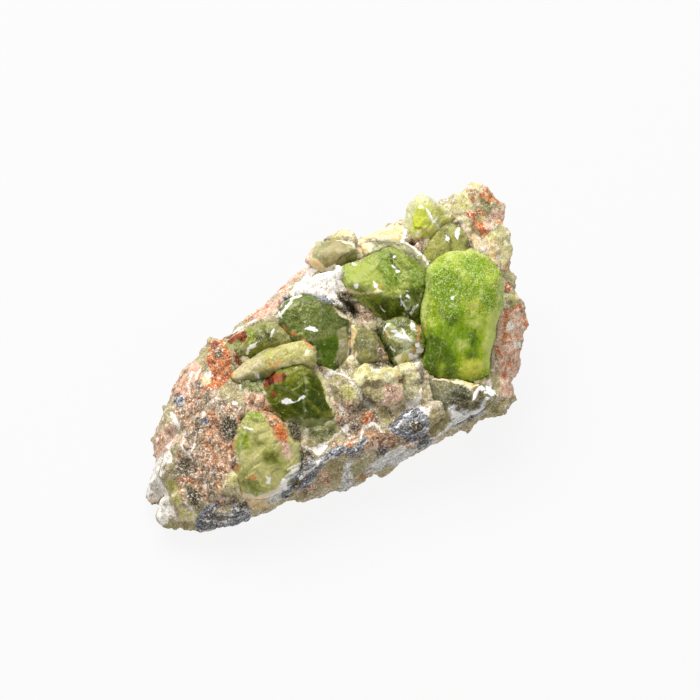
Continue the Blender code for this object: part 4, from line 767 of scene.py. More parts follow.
class StageSettings(bpy.types.PropertyGroup):
    """The floor, the lights and the camera."""

    floor_width: length("Floor width", "Width of the pale floor", 3.0)
    floor: colour("Floor", "Colour of the floor", (0.040, 0.038, 0.038))
    floor_glow: bpy.props.FloatProperty(
        name="Floor glow", description="How much light the floor passes from below", default=0.895, min=0)
    surround: bpy.props.FloatProperty(
        name="Surround", description="Strength of the even white light", default=0.35, min=0)
    key_power: bpy.props.FloatProperty(
        name="Key power", description="Power of the large soft lamp above", default=4.4, min=0, unit="POWER")
    front_power: bpy.props.FloatProperty(
        name="Front power", description="Power of the small soft lamp in front", default=0.30, min=0, unit="POWER")
    lens: bpy.props.FloatProperty(
        name="Lens", description="Focal length of the camera", default=110, min=10, unit="CAMERA")
    distance: length("Camera distance", "From the camera to the middle of the stone", 288.75 * MM)


class Value:
    """A socket in a material. Sums and products of values add Math nodes."""

    def __init__(self, paint, socket):
        self.paint = paint
        self.socket = socket

    def __add__(self, other):
        return self.paint.math("ADD", self, other)

    def __radd__(self, other):
        return self.paint.math("ADD", other, self)

    def __sub__(self, other):
        return self.paint.math("SUBTRACT", self, other)

    def __rsub__(self, other):
        return self.paint.math("SUBTRACT", other, self)

    def __mul__(self, other):
        return self.paint.math("MULTIPLY", self, other)

    def __rmul__(self, other):
        return self.paint.math("MULTIPLY", other, self)


class Paint:
    """One material and its nodes."""

    def __init__(self, name):
        self.material = bpy.data.materials.new(name)
        self.material.use_nodes = True
        self.nodes = self.material.node_tree.nodes
        self.links = self.material.node_tree.links
        self.nodes.clear()

    def node(self, kind, settings=None, sockets=None, output=0):
        """Adds a node: its settings first, then the values or links of its sockets. Gives one output."""
        node = self.nodes.new(kind)
        for key, setting in (settings or {}).items():
            if key == "stops":
                self.set_stops(node.color_ramp, setting)
            else:
                setattr(node, key, setting)
        for key, value in (sockets or {}).items():
            if isinstance(value, Value):
                self.links.new(value.socket, node.inputs[key])
            else:
                node.inputs[key].default_value = value
        return Value(self, node.outputs[output])

    def set_stops(self, ramp, stops):
        while len(ramp.elements) < len(stops):
            ramp.elements.new(1.0)
        for element, (place, shade) in zip(ramp.elements, stops):
            element.position = place
            element.color = (*shade, 1)

    def math(self, operation, first, second):
        return self.node("ShaderNodeMath", {"operation": operation}, {0: first, 1: second})

    def vector(self, operation, first, second):
        return self.node("ShaderNodeVectorMath", {"operation": operation}, {0: first, 1: second})

    def place(self):
        return self.node("ShaderNodeTexCoord", output="Object")

    def stretched(self, place, turn, size):
        return self.node("ShaderNodeMapping", {"vector_type": "TEXTURE"}, {0: place, 2: turn, 3: size})

    def noise(self, place, size, detail=3.0, roughness=0.55, distortion=0.0):
        """Cloudy noise from 0 to 1, whose largest forms have this size."""
        return self.node(
            "ShaderNodeTexNoise", None,
            {"Vector": place, "Scale": 1 / size, "Detail": detail, "Roughness": roughness,
             "Distortion": distortion})

    def cells(self, place, size, output="Distance", feature="F1"):
        return self.node(
            "ShaderNodeTexVoronoi", {"feature": feature}, {"Vector": place, "Scale": 1 / size}, output=output)

    def cell_tone(self, place, size):
        """One random value from 0 to 1 for each cell."""
        return self.node("ShaderNodeSeparateColor", None, {0: self.cells(place, size, "Color")})

    def mark(self, name):
        return self.node("ShaderNodeAttribute", {"attribute_name": name}, output="Fac")

    def rise(self, value, low, high):
        """0 below low, 1 above high, and smooth between."""
        return self.node(
            "ShaderNodeMapRange", {"interpolation_type": "SMOOTHSTEP"}, {0: value, 1: low, 2: high, 3: 0.0, 4: 1.0})

    def mix(self, factor, first, second, blend="MIX"):
        def shade(value):
            return value if isinstance(value, Value) else (*value, 1)
        return self.node(
            "ShaderNodeMix", {"data_type": "RGBA", "blend_type": blend},
            {0: factor, 6: shade(first), 7: shade(second)}, output=2)

    def sparkle(self, place, size, lean):
        """The surface's normal, leaning another way in each small cell."""
        lean_way = self.vector("SUBTRACT", self.cells(place, size, "Color"), (0.5, 0.5, 0.5))
        leaning = self.vector("MULTIPLY", lean_way, (lean, lean, lean))
        normal = self.node("ShaderNodeNewGeometry", output="Normal")
        return self.node(
            "ShaderNodeVectorMath", {"operation": "NORMALIZE"}, {0: self.vector("ADD", normal, leaning)})

    def bump(self, height, strength, distance, normal):
        return self.node(
            "ShaderNodeBump", None,
            {"Height": height, "Strength": strength, "Distance": distance, "Normal": normal}, output="Normal")

    def finish(self, shader, volume=None):
        out = self.nodes.new("ShaderNodeOutputMaterial")
        self.links.new(shader.socket, out.inputs["Surface"])
        if volume:
            self.links.new(volume.socket, out.inputs["Volume"])
        return self.material


def camera_axes():
    """Right, up and backward as the camera has them."""
    backward = Vector((
        math.sin(CAMERA_BEARING) * math.cos(CAMERA_ELEVATION),
        -math.cos(CAMERA_BEARING) * math.cos(CAMERA_ELEVATION),
        math.sin(CAMERA_ELEVATION),
    ))
    right = Vector((math.cos(CAMERA_BEARING), math.sin(CAMERA_BEARING), 0))
    return right, backward.cross(right), backward


def camera_place(stage):
    return LOOK_AT + camera_axes()[2] * stage.distance


def pixel_size(stage):
    return stage.distance * SENSOR_WIDTH / (stage.lens * PICTURE_SIZE)


def picture_places(points, stage):
    """Where the points are on the picture, as right and down in pixels."""
    right, up, backward = (np.array(axis) for axis in camera_axes())
    away = points - np.array(camera_place(stage))
    focal = stage.lens / SENSOR_WIDTH * PICTURE_SIZE
    ahead = -(away @ backward)
    across = PICTURE_SIZE / 2 + focal * (away @ right) / ahead
    down = PICTURE_SIZE / 2 - focal * (away @ up) / ahead
    return across, down


def shifted(points, stage):
    """The points after the small shifts; nothing leaves the floor or goes below it."""
    across, down = picture_places(points, stage)
    right, up, backward = (np.array(axis) for axis in camera_axes())
    inward = np.array([-backward[0], -backward[1], 0])
    inward /= inward @ up
    inward[2] = 0
    total = np.zeros_like(points)
    weights = np.zeros(len(points))
    for table, rise in ((SHIFTS, up), (FOOT_SHIFTS, inward)):
        for x, y, to_right, to_up, reach in table:
            weight = np.exp(-((across - x) ** 2 + (down - y) ** 2) / reach ** 2)
            total += weight[:, None] * (to_right * right + to_up * rise) * pixel_size(stage)
            weights += weight
    moved = points + total / np.maximum(weights, 1)[:, None]
    low = points[:, 2] < 0.3 * MM
    moved[low, 2] = points[low, 2]
    moved[:, 2] = np.maximum(moved[:, 2], 0)
    return moved


def joined_tree(objects):
    """A search tree over the faces of all the objects."""
    points = []
    faces = []
    for obj in objects:
        start = len(points)
        points += [vertex.co.copy() for vertex in obj.data.vertices]
        faces += [[start + i for i in face.vertices] for face in obj.data.polygons]
    return BVHTree.FromPolygons(points, faces)


def points_seen(points, tree, stage):
    """True for each point that the camera sees, or that lies just behind what it sees."""
    eye = camera_place(stage)
    seen = np.zeros(len(points), dtype=bool)
    for i, point in enumerate(points):
        way = Vector(point) - eye
        distance = tree.ray_cast(eye, way.normalized())[3]
        seen[i] = distance is None or way.length - distance < SEEN_DEPTH
    return seen


SENSOR_WIDTH = 36.0
SEEN_DEPTH = 1.3 * MM
SEAM_REACH = 1.4 * MM


def nearest_distances(points, tree, reach):
    """How far each point is from the tree's faces, up to the reach."""
    away = np.full(len(points), reach)
    for i, point in enumerate(points):
        distance = tree.find_nearest(Vector(point), reach)[3]
        if distance is not None:
            away[i] = distance
    return away


def outline_depth(across, down, outline):
    """How far inside an outline each place is, in pixels; below 0 outside it."""
    corners = np.array(outline, dtype=float).reshape(-1, 2)
    nearest = np.full(len(across), np.inf)
    inside = np.zeros(len(across), dtype=bool)
    for (x0, y0), (x1, y1) in zip(corners, np.roll(corners, -1, axis=0)):
        nearest = np.minimum(nearest, segment_distance(across, down, x0, y0, x1, y1))
        if y0 != y1:
            crosses = (down < y0) != (down < y1)
            inside ^= crosses & (across < x0 + (down - y0) * (x1 - x0) / (y1 - y0))
    return np.where(inside, nearest, -nearest)


def segment_distance(across, down, x0, y0, x1, y1):
    along = np.clip(
        ((across - x0) * (x1 - x0) + (down - y0) * (y1 - y0)) / ((x1 - x0) ** 2 + (y1 - y0) ** 2), 0, 1)
    return np.hypot(across - x0 - along * (x1 - x0), down - y0 - along * (y1 - y0))


def vein_depth(across, down, vein):
    """How far inside a thin vein each place is, in pixels."""
    corners = np.array(vein[1:], dtype=float).reshape(-1, 2)
    nearest = np.full(len(across), np.inf)
    for (x0, y0), (x1, y1) in zip(corners[:-1], corners[1:]):
        nearest = np.minimum(nearest, segment_distance(across, down, x0, y0, x1, y1))
    return vein[0] / 2 + 0.3 - nearest


def patch_marks(points, seen, stage):
    """For each kind of patch on these points, how far inside it every point is, in pixels."""
    across, down = picture_places(points, stage)
    across = across + 1.3 * cloud(points, 1.1 * MM, 3)
    down = down + 1.3 * cloud(points + 0.07, 1.1 * MM, 3)
    marks = {}
    for table, depth_of, first in ((PATCHES, outline_depth, 0), (CRYSTAL_PATCHES, outline_depth, 0),
                                   (VEINS, vein_depth, 1)):
        for kind, shapes in table.items():
            depth = marks.get(kind, np.full(len(points), FAR_OUTSIDE))
            for shape in shapes:
                xs, ys = shape[first::2], shape[first + 1::2]
                near = seen & (across > min(xs) + FAR_OUTSIDE) & (across < max(xs) - FAR_OUTSIDE)
                near &= (down > min(ys) + FAR_OUTSIDE) & (down < max(ys) - FAR_OUTSIDE)
                if near.any():
                    depth[near] = np.maximum(depth[near], depth_of(across[near], down[near], shape))
            marks[kind] = depth
    return {kind: depth for kind, depth in marks.items() if depth.max() > -1.5}


def hidden_marks(points, seen, stage, rng):
    """Patches like the visible ones on the points that the camera doesn't see."""
    marks = {}
    hidden = np.flatnonzero(~seen)
    warped = points + 1.5 * MM * np.stack(
        [cloud(points + shift, 1.6 * MM, 3) for shift in (0.1, 0.2, 0.3)], axis=1)
    for kind, count in HIDDEN_PATCHES.items():
        depth = np.full(len(points), FAR_OUTSIDE)
        for _ in range(count):
            middle = points[hidden[rng.randrange(len(hidden))]]
            radius = rng.uniform(*HIDDEN_RADIUS)
            stretch = np.array([rng.uniform(0.6, 1.6) for _ in range(3)])
            away = np.linalg.norm((warped - middle) * stretch, axis=1)
            depth = np.maximum(depth, (radius - away) / pixel_size(stage))
        marks[kind] = np.where(seen, FAR_OUTSIDE, np.maximum(depth, FAR_OUTSIDE))
    return marks


def points_of(mesh):
    points = np.empty(len(mesh.vertices) * 3)
    mesh.vertices.foreach_get("co", points)
    return points.reshape(-1, 3)


def normals_of(mesh):
    normals = np.empty(len(mesh.vertices) * 3)
    mesh.vertices.foreach_get("normal", normals)
    return normals.reshape(-1, 3)


def move_points(mesh, points):
    mesh.vertices.foreach_set("co", points.ravel())
    mesh.update()


def inside_box(points):
    """The points, none of them outside the box of the solids."""
    return np.clip(points, CAD_BOX[0], CAD_BOX[1])


def set_mark(mesh, name, values):
    mark = mesh.attributes.new(name, "FLOAT", "POINT")
    mark.data.foreach_set("value", np.asarray(values, dtype=np.float32))


def welded(node):
    """The node's mesh with the points of neighbouring faces joined."""
    bm = bmesh.new()
    bm.from_mesh(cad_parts[node].data)
    bmesh.ops.remove_doubles(bm, verts=bm.verts, dist=0.001 * MM)
    return bm


def fine_copy(node, fineness, easing):
    """A new object with the node's shape, in small even faces, its corners eased."""
    mesh = bpy.data.meshes.new(node + "_fine")
    bm = welded(node)
    bm.to_mesh(mesh)
    bm.free()
    piece = bpy.data.objects.new(node + "_fine", mesh)
    bpy.context.scene.collection.objects.link(piece)
    remesh = piece.modifiers.new("Fine", "REMESH")
    remesh.mode = "VOXEL"
    remesh.voxel_size = fineness
    smooth = piece.modifiers.new("Ease", "SMOOTH")
    smooth.factor = 0.5
    smooth.iterations = easing
    bpy.context.view_layer.update()
    graph = bpy.context.evaluated_depsgraph_get()
    fine = bpy.data.meshes.new_from_object(piece.evaluated_get(graph))
    piece.modifiers.clear()
    piece.data = fine
    fine.name = node + "_fine"
    bpy.data.meshes.remove(mesh)
    fine.shade_smooth()
    return piece


def sharp_edge_points(node, least_angle, spacing):
    """Points along the node's convex edges that are sharper than the angle."""
    bm = welded(node)
    bm.normal_update()
    points = []
    for edge in bm.edges:
        if len(edge.link_faces) != 2 or edge.calc_face_angle_signed(0) < least_angle:
            continue
        start, end = (vertex.co for vertex in edge.verts)
        steps = max(1, int((end - start).length / spacing))
        points += [start.lerp(end, i / steps) for i in range(steps + 1)]
    bm.free()
    return points


def distances_to(points, targets):
    """How far each point is from the nearest target."""
    tree = KDTree(len(targets))
    for i, target in enumerate(targets):
        tree.insert(target, i)
    tree.balance()
    return np.array([tree.find(point)[2] for point in points])


def cloud(points, size, octaves=4):
    """Fractal noise at each point, about -1 to 1, with forms of this size."""
    return np.array([noise.fractal(Vector(point) / size, 0.8, 2.1, octaves) for point in points])


def grains(points, size):
    """For each point, the grain it is in: how far inside its seams it is, and a tone from 0 to 1."""
    depth = np.empty(len(points))
    tone = np.empty(len(points))
    for i, point in enumerate(points):
        place = Vector(point) / size
        place += noise.noise_vector(place * 1.3) * 0.35
        away, middles = noise.voronoi(place)
        depth[i] = away[1] - away[0]
        tone[i] = (noise.cell(middles[0] * 7.3 + Vector((3.1, 5.7, 1.9))) + 1) / 2
    return depth, tone


def broken_facets(points, size):
    """Small flat facets, each leaning its own way: their height at each point, about -1 to 1."""
    heights = np.empty(len(points))
    for i, point in enumerate(points):
        place = Vector(point) / size
        place += noise.noise_vector(place * 0.9) * 0.3
        away, middles = noise.voronoi(place)
        lean = noise.cell_vector(middles[0] * 9.1 + Vector((2.3, 4.9, 7.7)))
        heights[i] = 2 * (place - middles[0]).dot(lean - Vector((0.5, 0.5, 0.5)))
    return heights


def fibres(points):
    """Ridges of the vein's fibres at each point, 0 to 1."""
    turn = Euler(FIBRE_TURN).to_matrix().inverted()
    ridges = np.empty(len(points))
    for i, point in enumerate(points):
        bend = noise.noise_vector(Vector(point) / (3 * MM)) * 0.5 * MM
        local = turn @ (Vector(point) + bend)
        place = Vector([local[axis] / FIBRE_SIZE[axis] for axis in range(3)])
        ridges[i] = 1 - min(1, 2.2 * abs(noise.noise(place)))
    return ridges


def step(values, low, high):
    t = np.clip((values - low) / (high - low), 0, 1)
    return t * t * (3 - 2 * t)


def take_place_of(piece, node, material):
    piece.data.materials.clear()
    piece.data.materials.append(material)
    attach(piece, "root")
    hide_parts(node)


class Textures:
    """The noises that several layers of one material share."""

    def __init__(self, paint):
        self.place = paint.place()
        self.broad = paint.noise(self.place, 2.4 * MM, 3)
        self.middle = paint.noise(self.place, 0.85 * MM, 5, 0.62, 0.4)
        self.fine = paint.noise(self.place, 0.24 * MM, 4, 0.7)
        self.crumb_tone = paint.cell_tone(self.place, 0.46 * MM)
        self.grit = paint.noise(self.place, 0.17 * MM, 1, 0.6)
        self.dust_tone = paint.cell_tone(self.place, 0.19 * MM)
        self.ragged = 5.0 * (self.middle - 0.5) + 3.0 * (self.fine - 0.5)
        self.swirl = 9.0 * (self.broad - 0.5) + 6.0 * (self.middle - 0.5)
        self.facet_tone = paint.cell_tone(self.place, 1.15 * MM)


def crust_layers(paint, crust, textures, shade, kinds):
    """Lays the grains, stains and crusts of these kinds, and the painted shade of hollows, over a shade. Gives the
    shade, and where they lie.
    """
    fine, middle = textures.fine, textures.middle
    cloudy = paint.rise(0.38 * textures.facet_tone + 0.5 * middle + 0.35 * fine, 0.38, 0.86)
    crumbly = paint.rise(0.55 * textures.crumb_tone + 0.35 * textures.dust_tone + 0.5 * fine, 0.25, 1.05)
    rusty = paint.rise(textures.crumb_tone + 0.5 * (middle - 0.5), 0.78, 0.86) * 0.6
    chalky = paint.rise(textures.dust_tone + 0.6 * (fine - 0.5), 0.86, 0.94) * 0.55
    grain = {}
    if {"pink", "cream"} & set(kinds):
        streak = paint.noise(paint.stretched(textures.place, STREAK_TURN, STREAK_SIZE), 1.0, 4, 0.65, 0.8)
        grain["pink"] = paint.rise(0.7 * streak + 0.4 * fine + 0.15 * textures.dust_tone, 0.42, 0.80)
    if {"blue", "teal"} & set(kinds):
        fibre = paint.noise(paint.stretched(textures.place, FIBRE_TURN, FIBRE_SIZE), 1.0, 5, 0.75, 0.9)
        grain["blue"] = paint.rise(0.8 * fibre + 0.35 * fine, 0.50, 0.72)
        grain["teal"] = paint.rise(0.5 * fibre + 0.6 * fine, 0.42, 0.68)
    grain["brown"] = grain["ember"] = crumbly
    grain["rust"] = paint.rise(0.8 * fine + 0.5 * middle + 0.15 * textures.dust_tone, 0.55, 0.88)
    grain["white"] = paint.rise(0.7 * fine + 0.5 * middle, 0.44, 0.62)
    # The dark kind is painted shade in hollows and gaps.
    grain["dark"] = paint.rise(0.8 * fine + 0.3 * textures.dust_tone, 0.45, 0.80)
    cover = 0.0
    for kind, soft in CRUST_KINDS.items():
        if kind not in kinds:
            continue
        mask = paint.rise(paint.mark(kind) + textures.ragged, -soft, soft)
        cover = paint.math("MAXIMUM", cover, mask)
        body = paint.mix(grain.get(kind, cloudy), getattr(crust, kind + "_dark"), getattr(crust, kind + "_light"))
        if kind in ("brown", "ember"):
            body = paint.mix(rusty, body, crust.rust_light)
            body = paint.mix(chalky, body, crust.white_light)
        if kind == "blue":
            steel = paint.rise(grain["blue"], 0.10, 0.35) * (1.0 - paint.rise(grain["blue"], 0.50, 0.80))
            body = paint.mix(steel * 0.75, body, crust.blue_middle)
        shade = paint.mix(mask, shade, body)
    return shade, cover


STREAK_TURN = (0.3, 0.9, 0.5)
STREAK_SIZE = (2.6 * MM, 0.35 * MM, 0.5 * MM)


def rock_material(rock, crust, kinds):
    """Granular rock with stains, crusts, fibres and grains where the marks say, with painted shade in hollows, seams
    and pits, painted glints, and pale painted light under the crystals.
    """
    paint = Paint("host_rock_finish")
    textures = Textures(paint)
    fine, middle, broad = textures.fine, textures.middle, textures.broad
    tone = paint.mark("tone")
    seam = paint.mark("seam")
    painted_glint_dots = paint.cells(textures.place, 0.62 * MM)

    crumbs = paint.node(
        "ShaderNodeValToRGB",
        {"stops": [(0.0, (0.06, 0.045, 0.03)), (0.14, (0.22, 0.15, 0.10)), (0.30, (0.44, 0.34, 0.24)),
                   (0.46, (0.68, 0.55, 0.40)), (0.58, (0.36, 0.33, 0.22)), (0.70, (0.80, 0.72, 0.58)),
                   (0.82, (0.62, 0.30, 0.14)), (0.90, (0.70, 0.55, 0.40)), (1.0, (0.92, 0.88, 0.80))]},
        {0: 0.5 * textures.crumb_tone + 0.35 * textures.dust_tone + 0.6 * (middle - 0.5) + 0.1})
    glassy = paint.mix(
        paint.rise(0.5 * tone + 0.7 * middle + 0.2 * fine, 0.40, 1.0), crust.olive_dark, crust.olive_light)
    shade = paint.mix(paint.rise(broad + 0.5 * tone, 0.45, 0.95), crumbs, glassy)
    border = paint.rise(paint.mark("border") + 0.25 * textures.ragged, 0.35, 0.9)
    shade = paint.mix(border * 0.75, shade, rock.seam_colour)
    shade, cover = crust_layers(paint, crust, textures, shade, kinds)
    # Painted light under the crystals.
    shade = paint.mix(paint.rise(paint.mark("pocket"), 0.3, 0.7), shade, rock.pocket)
    # Painted glints: small white dots on the grains.
    shade = paint.mix(paint.rise(painted_glint_dots, 0.17, 0.08) * 0.7, shade, crust.white_light)
    glass = 0.0
    for kind in GLASSY_KINDS:
        if kind in kinds:
            glass = paint.math("MAXIMUM", glass, paint.rise(paint.mark(kind) + textures.ragged, -1.0, 1.5))
    broken = 1.0 - 0.65 * glass
    flecks = 0.5 * textures.crumb_tone + 0.5 * textures.dust_tone + 0.3 * (fine - 0.5)
    shade = paint.mix(paint.rise(flecks, 0.74, 0.88) * 0.7 * broken, shade, crust.white_light)
    shade = paint.mix(paint.rise(flecks, 0.28, 0.14) * 0.4 * broken, shade, (0.20, 0.14, 0.06))
    # Painted shade in the low spots of the fine bump.
    shade = paint.mix(paint.rise(fine, 0.40, 0.27) * 0.40 * broken, shade, (0.30, 0.22, 0.10), "MULTIPLY")
    shade = paint.mix(paint.rise(textures.grit, 0.53, 0.66) * 0.30, shade, (0.94, 0.88, 0.76))
    shade = paint.mix(paint.rise(textures.grit, 0.47, 0.34) * 0.60, shade, (0.46, 0.39, 0.28), "MULTIPLY")
    # Painted shade in the seams between the grains.
    shade = paint.mix(paint.rise(seam, 0.12, 0.01) * 0.30, shade, (0.50, 0.42, 0.25), "MULTIPLY")

    relief = (0.7 * fine + 0.4 * middle + 0.25 * textures.crumb_tone) * (1.0 - 0.5 * glass)
    sparkling = paint.sparkle(textures.place, 0.30 * MM, 0.55)
    shader = paint.node(
        "ShaderNodeBsdfPrincipled", None,
        {"Base Color": shade, "Roughness": 0.32 + 0.45 * paint.rise(middle, 0.35, 0.6), "IOR": 1.5,
         "Specular IOR Level": 0.15, "Normal": paint.bump(relief, 0.8, 0.20 * MM, sparkling)})
    return paint.finish(shader)


def growth_lines_turn(degrees):
    """The turn that lays a texture's x along a direction of the picture."""
    right, up, backward = camera_axes()
    along = right * math.cos(math.radians(degrees)) + up * math.sin(math.radians(degrees))
    across = backward.cross(along)
    return Matrix((along, across, backward)).transposed().to_euler()


def crystal_material(node, crystals, crust, kinds):
    """Clear olivine: light passes and is tinted on its way; veils, frosting, stains, painted shade, painted glow and
    painted glints lie where marks say.
    """
    look = CRYSTAL_LOOKS[node]
    paint = Paint(node + "_finish")
    textures = Textures(paint)
    place, fine, middle = textures.place, textures.fine, textures.middle
    veil = paint.noise(place, 3.0 * MM, 2, 0.5, 1.0)
    turn = growth_lines_turn(look["lines"])
    lined = paint.noise(paint.stretched(place, turn, (2.4 * MM, 0.32 * MM, 0.7 * MM)), 1.0, 4, 0.6, 0.5)
    dots = paint.cells(place, 0.36 * MM)
    rim = paint.mark("rim")
    bright = tuple(0.35 + 0.65 * part for part in look["pale"])

    masks = {}
    for kind, soft in BODY_KINDS.items():
        if kind in kinds:
            masks[kind] = paint.rise(paint.mark(kind) + 0.7 * textures.swirl, -soft, soft)
    shade = paint.mix(paint.rise(veil + 0.6 * middle, 0.75, 1.05) * 0.5, look["middle"], look["pale"])
    shade = paint.mix(paint.rise(veil + 0.5 * middle, 0.75, 0.5) * 0.55, shade, look["vivid"])
    # Body patches, partly painted light: lit faces, faces in shade and light glowing inside.
    for kind, mask in masks.items():
        shade = paint.mix(mask * 0.92, shade, look[kind])
    cloudy = masks.get("pale", 0.0) * 0.35 + look["frost"] * 0.5
    frost = paint.rise(cloudy + 0.7 * middle, 0.40, 0.85)
    shade = paint.mix(paint.rise(lined, 0.56, 0.68) * 0.40, shade, look["pale"])
    shade = paint.mix(paint.rise(lined, 0.44, 0.32) * 0.45, shade, look["deep"])
    grit = textures.grit + 0.25 * (middle - 0.5)
    gritty = 1.0
    if "clear" in kinds:
        gritty = 1.0 - 0.70 * paint.rise(paint.mark("clear") + textures.swirl, -4.0, 3.0)
    shade = paint.mix(paint.rise(grit + 0.25 * (fine - 0.5), 0.52, 0.66) * (0.26 + 0.62 * frost) * gritty, shade, bright)
    shade = paint.mix(paint.rise(grit, 0.47, 0.33) * (0.28 + 0.34 * frost) * gritty, shade, look["deep"])
    # Painted glints: tiny white sparks on the faces.
    painted_sparks = paint.rise(textures.dust_tone, 0.955, 0.98) * paint.rise(middle, 0.50, 0.62)
    shade = paint.mix(painted_sparks * 0.8, shade, (0.93, 0.95, 0.80))
    # Painted highlight along the sharp edges.
    shade = paint.mix(paint.rise(rim + 0.8 * (middle - 0.5), 0.55, 0.95) * 0.25, shade, bright)
    # Paler where the crystal meets the rock: a pale seam, partly painted light that lifts the shade at the contact.
    shade = paint.mix(paint.rise(paint.mark("foot") + 0.12 * textures.ragged, 0.35, 0.85) * 0.65, shade, bright)
    shade, cover = crust_layers(paint, crust, textures, shade, kinds)
    # Painted highlights: the glints are white and opaque.
    if "glint" in kinds:
        glint = paint.rise(paint.mark("glint") + 0.7 * textures.ragged, -0.5, 0.7)
        shade = paint.mix(glint, shade, (1.0, 1.0, 0.97))
        cover = paint.math("MAXIMUM", cover, glint)

    relief = 0.6 * fine + 0.8 * middle + 0.5 * lined - 0.35 * paint.rise(dots, 0.25, 0.05)
    rough = look["smooth"] + (look["frosted"] - look["smooth"]) * frost
    sparkling = paint.sparkle(place, 0.26 * MM, 0.5 * look["frost"])
    normal = paint.bump(relief, 0.5, 0.12 * MM, sparkling)
    clear = paint.node(
        "ShaderNodeBsdfPrincipled", None,
        {"Base Color": shade, "Roughness": rough, "IOR": crystals.bends_light,
         "Transmission Weight": look["passes"], "Specular IOR Level": crystals.gloss,
         "Specular Tint": (*crystals.gloss_tint, 1), "Normal": normal})
    # Opaque finish for the crusts and the painted glints.
    opaque_crust_and_glint = paint.node(
        "ShaderNodeBsdfPrincipled", None,
        {"Base Color": shade, "Roughness": 0.5, "Specular IOR Level": 0.15, "Normal": normal})
    shader = paint.node("ShaderNodeMixShader", None, {0: cover * 0.85, 1: clear, 2: opaque_crust_and_glint})
    volume = paint.node(
        "ShaderNodeVolumeAbsorption", None, {"Color": (*look["absorbs"], 1), "Density": look["strength"]})
    return paint.finish(shader, volume)


def make_crystal(node, scene):
    """A crystal in small faces: bowed, broken and etched faces, chipped edges, and its patches."""
    noise.seed_set(NOISE_SEED)
    crystals = scene.peridot_crystals
    stage = scene.peridot_stage
    look = CRYSTAL_LOOKS[node]
    piece = fine_copy(node, crystals.fineness, look["easing"])
    mesh = piece.data
    points = points_of(mesh)
    normals = normals_of(mesh)
    near_edge = distances_to(points, sharp_edge_points(node, math.radians(12), 0.15 * MM))
    edge = np.exp(-near_edge / (0.35 * MM))
    bow = cloud(points, 3.2 * MM, 3) * crystals.swell
    facets = broken_facets(points, 2.1 * MM) * look["facets"] * MM
    facets += broken_facets(points, 0.9 * MM) * look["facets"] * 0.4 * MM
    chip = step(cloud(points, 0.9 * MM, 3), 0.0, 0.7) * edge * crystals.chips
    etched = cloud(points, 0.45 * MM, 3) * crystals.etching
    from_rock = nearest_distances(points, joined_tree([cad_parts["host_rock"]]), SEAM_REACH)
    growth = CRYSTAL_GROWTH[node] * MM if node in CRYSTAL_GROWTH else crystals.growth
    move = growth + bow + facets - chip - 0.3 * crystals.chips * edge + etched
    seen = points_seen(points, joined_tree(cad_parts.values()), stage)
    points = shifted(points, stage)
    marks = patch_marks(points, seen, stage)
    if node in BARE_CRYSTALS:
        marks = {kind: depth for kind, depth in marks.items() if kind in CRYSTAL_PATCHES}
    for name, values in marks.items():
        set_mark(mesh, name, values)
    # Where the painted highlight along the edges lies.
    set_mark(mesh, "rim", np.exp(-near_edge / (0.30 * MM)))
    # Where the crystal meets the rock: its pale seam and painted light.
    set_mark(mesh, "foot", np.exp(-from_rock / (0.40 * MM)))
    move_points(mesh, inside_box(points + normals * move[:, None]))
    take_place_of(piece, node, crystal_material(node, crystals, scene.peridot_crust, list(marks)))
    return piece


def make_rock(scene):
    """The host rock in small faces, with grains, breaks and fibres, and its patches."""
    noise.seed_set(NOISE_SEED)
    rock = scene.peridot_rock
    stage = scene.peridot_stage
    piece = fine_copy("host_rock", rock.fineness, 2)
    mesh = piece.data
    points = points_of(mesh)
    normals = normals_of(mesh)
    seen = points_seen(points, joined_tree(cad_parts.values()), stage)
    crystal_faces = joined_tree([obj for name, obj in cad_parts.items() if name != "host_rock"])
    from_crystal = nearest_distances(points, crystal_faces, SEAM_REACH)
    points = shifted(points, stage)
    marks = patch_marks(points, seen, stage)
    for name, values in hidden_marks(points, seen, stage, random.Random(11)).items():
        marks[name] = np.maximum(marks[name], values)
    small_depth, small_tone = grains(points, rock.grain_size)
    large_depth, large_tone = grains(points, rock.grain_size * 2.1)
    vein = step(marks["blue"], -1.5, 1.5)
    crust = step(marks["white"], -1.5, 1.5)
    dome = step(small_depth, 0.0, 0.40) * rock.grain_relief
    dome += step(large_depth, 0.0, 0.25) * rock.grain_relief * 1.2
    facets = broken_facets(points, 1.9 * MM) * rock.facet_relief
    facets += broken_facets(points, 0.9 * MM) * rock.facet_relief * 0.6
    rough = cloud(points, 1.1 * MM, 5) * rock.break_relief
    ridge = (fibres(points) - 0.3) * rock.fibre_relief * vein
    lip = seen * (1 - step(from_crystal, 0.3 * MM, SEAM_REACH)) * rock.seam_rise
    lip *= 0.8 + 0.35 * cloud(points + 0.03, 1.4 * MM, 3)
    move = (dome + facets) * (1 - 0.6 * crust) + rough + ridge - rock.grain_relief * 1.4 + lip
    low = points[:, 2] < 0.25 * MM
    move = np.where(low, np.minimum(move, 0), move)
    moved = points + normals * move[:, None]
    for name, values in marks.items():
        set_mark(mesh, name, values)
    set_mark(mesh, "tone", 0.5 * small_tone + 0.5 * large_tone)
    set_mark(mesh, "seam", np.minimum(small_depth, large_depth))
    # Where the rock under the crystals gets pale painted light.
    set_mark(mesh, "pocket", ~seen * (from_crystal < 0.6 * MM))
    set_mark(mesh, "border", np.exp(-np.maximum(from_crystal - 0.3 * MM, 0) / (0.35 * MM)) * seen)
    move_points(mesh, inside_box(moved))
    take_place_of(piece, "host_rock", rock_material(rock, scene.peridot_crust, list(marks)))
    return piece


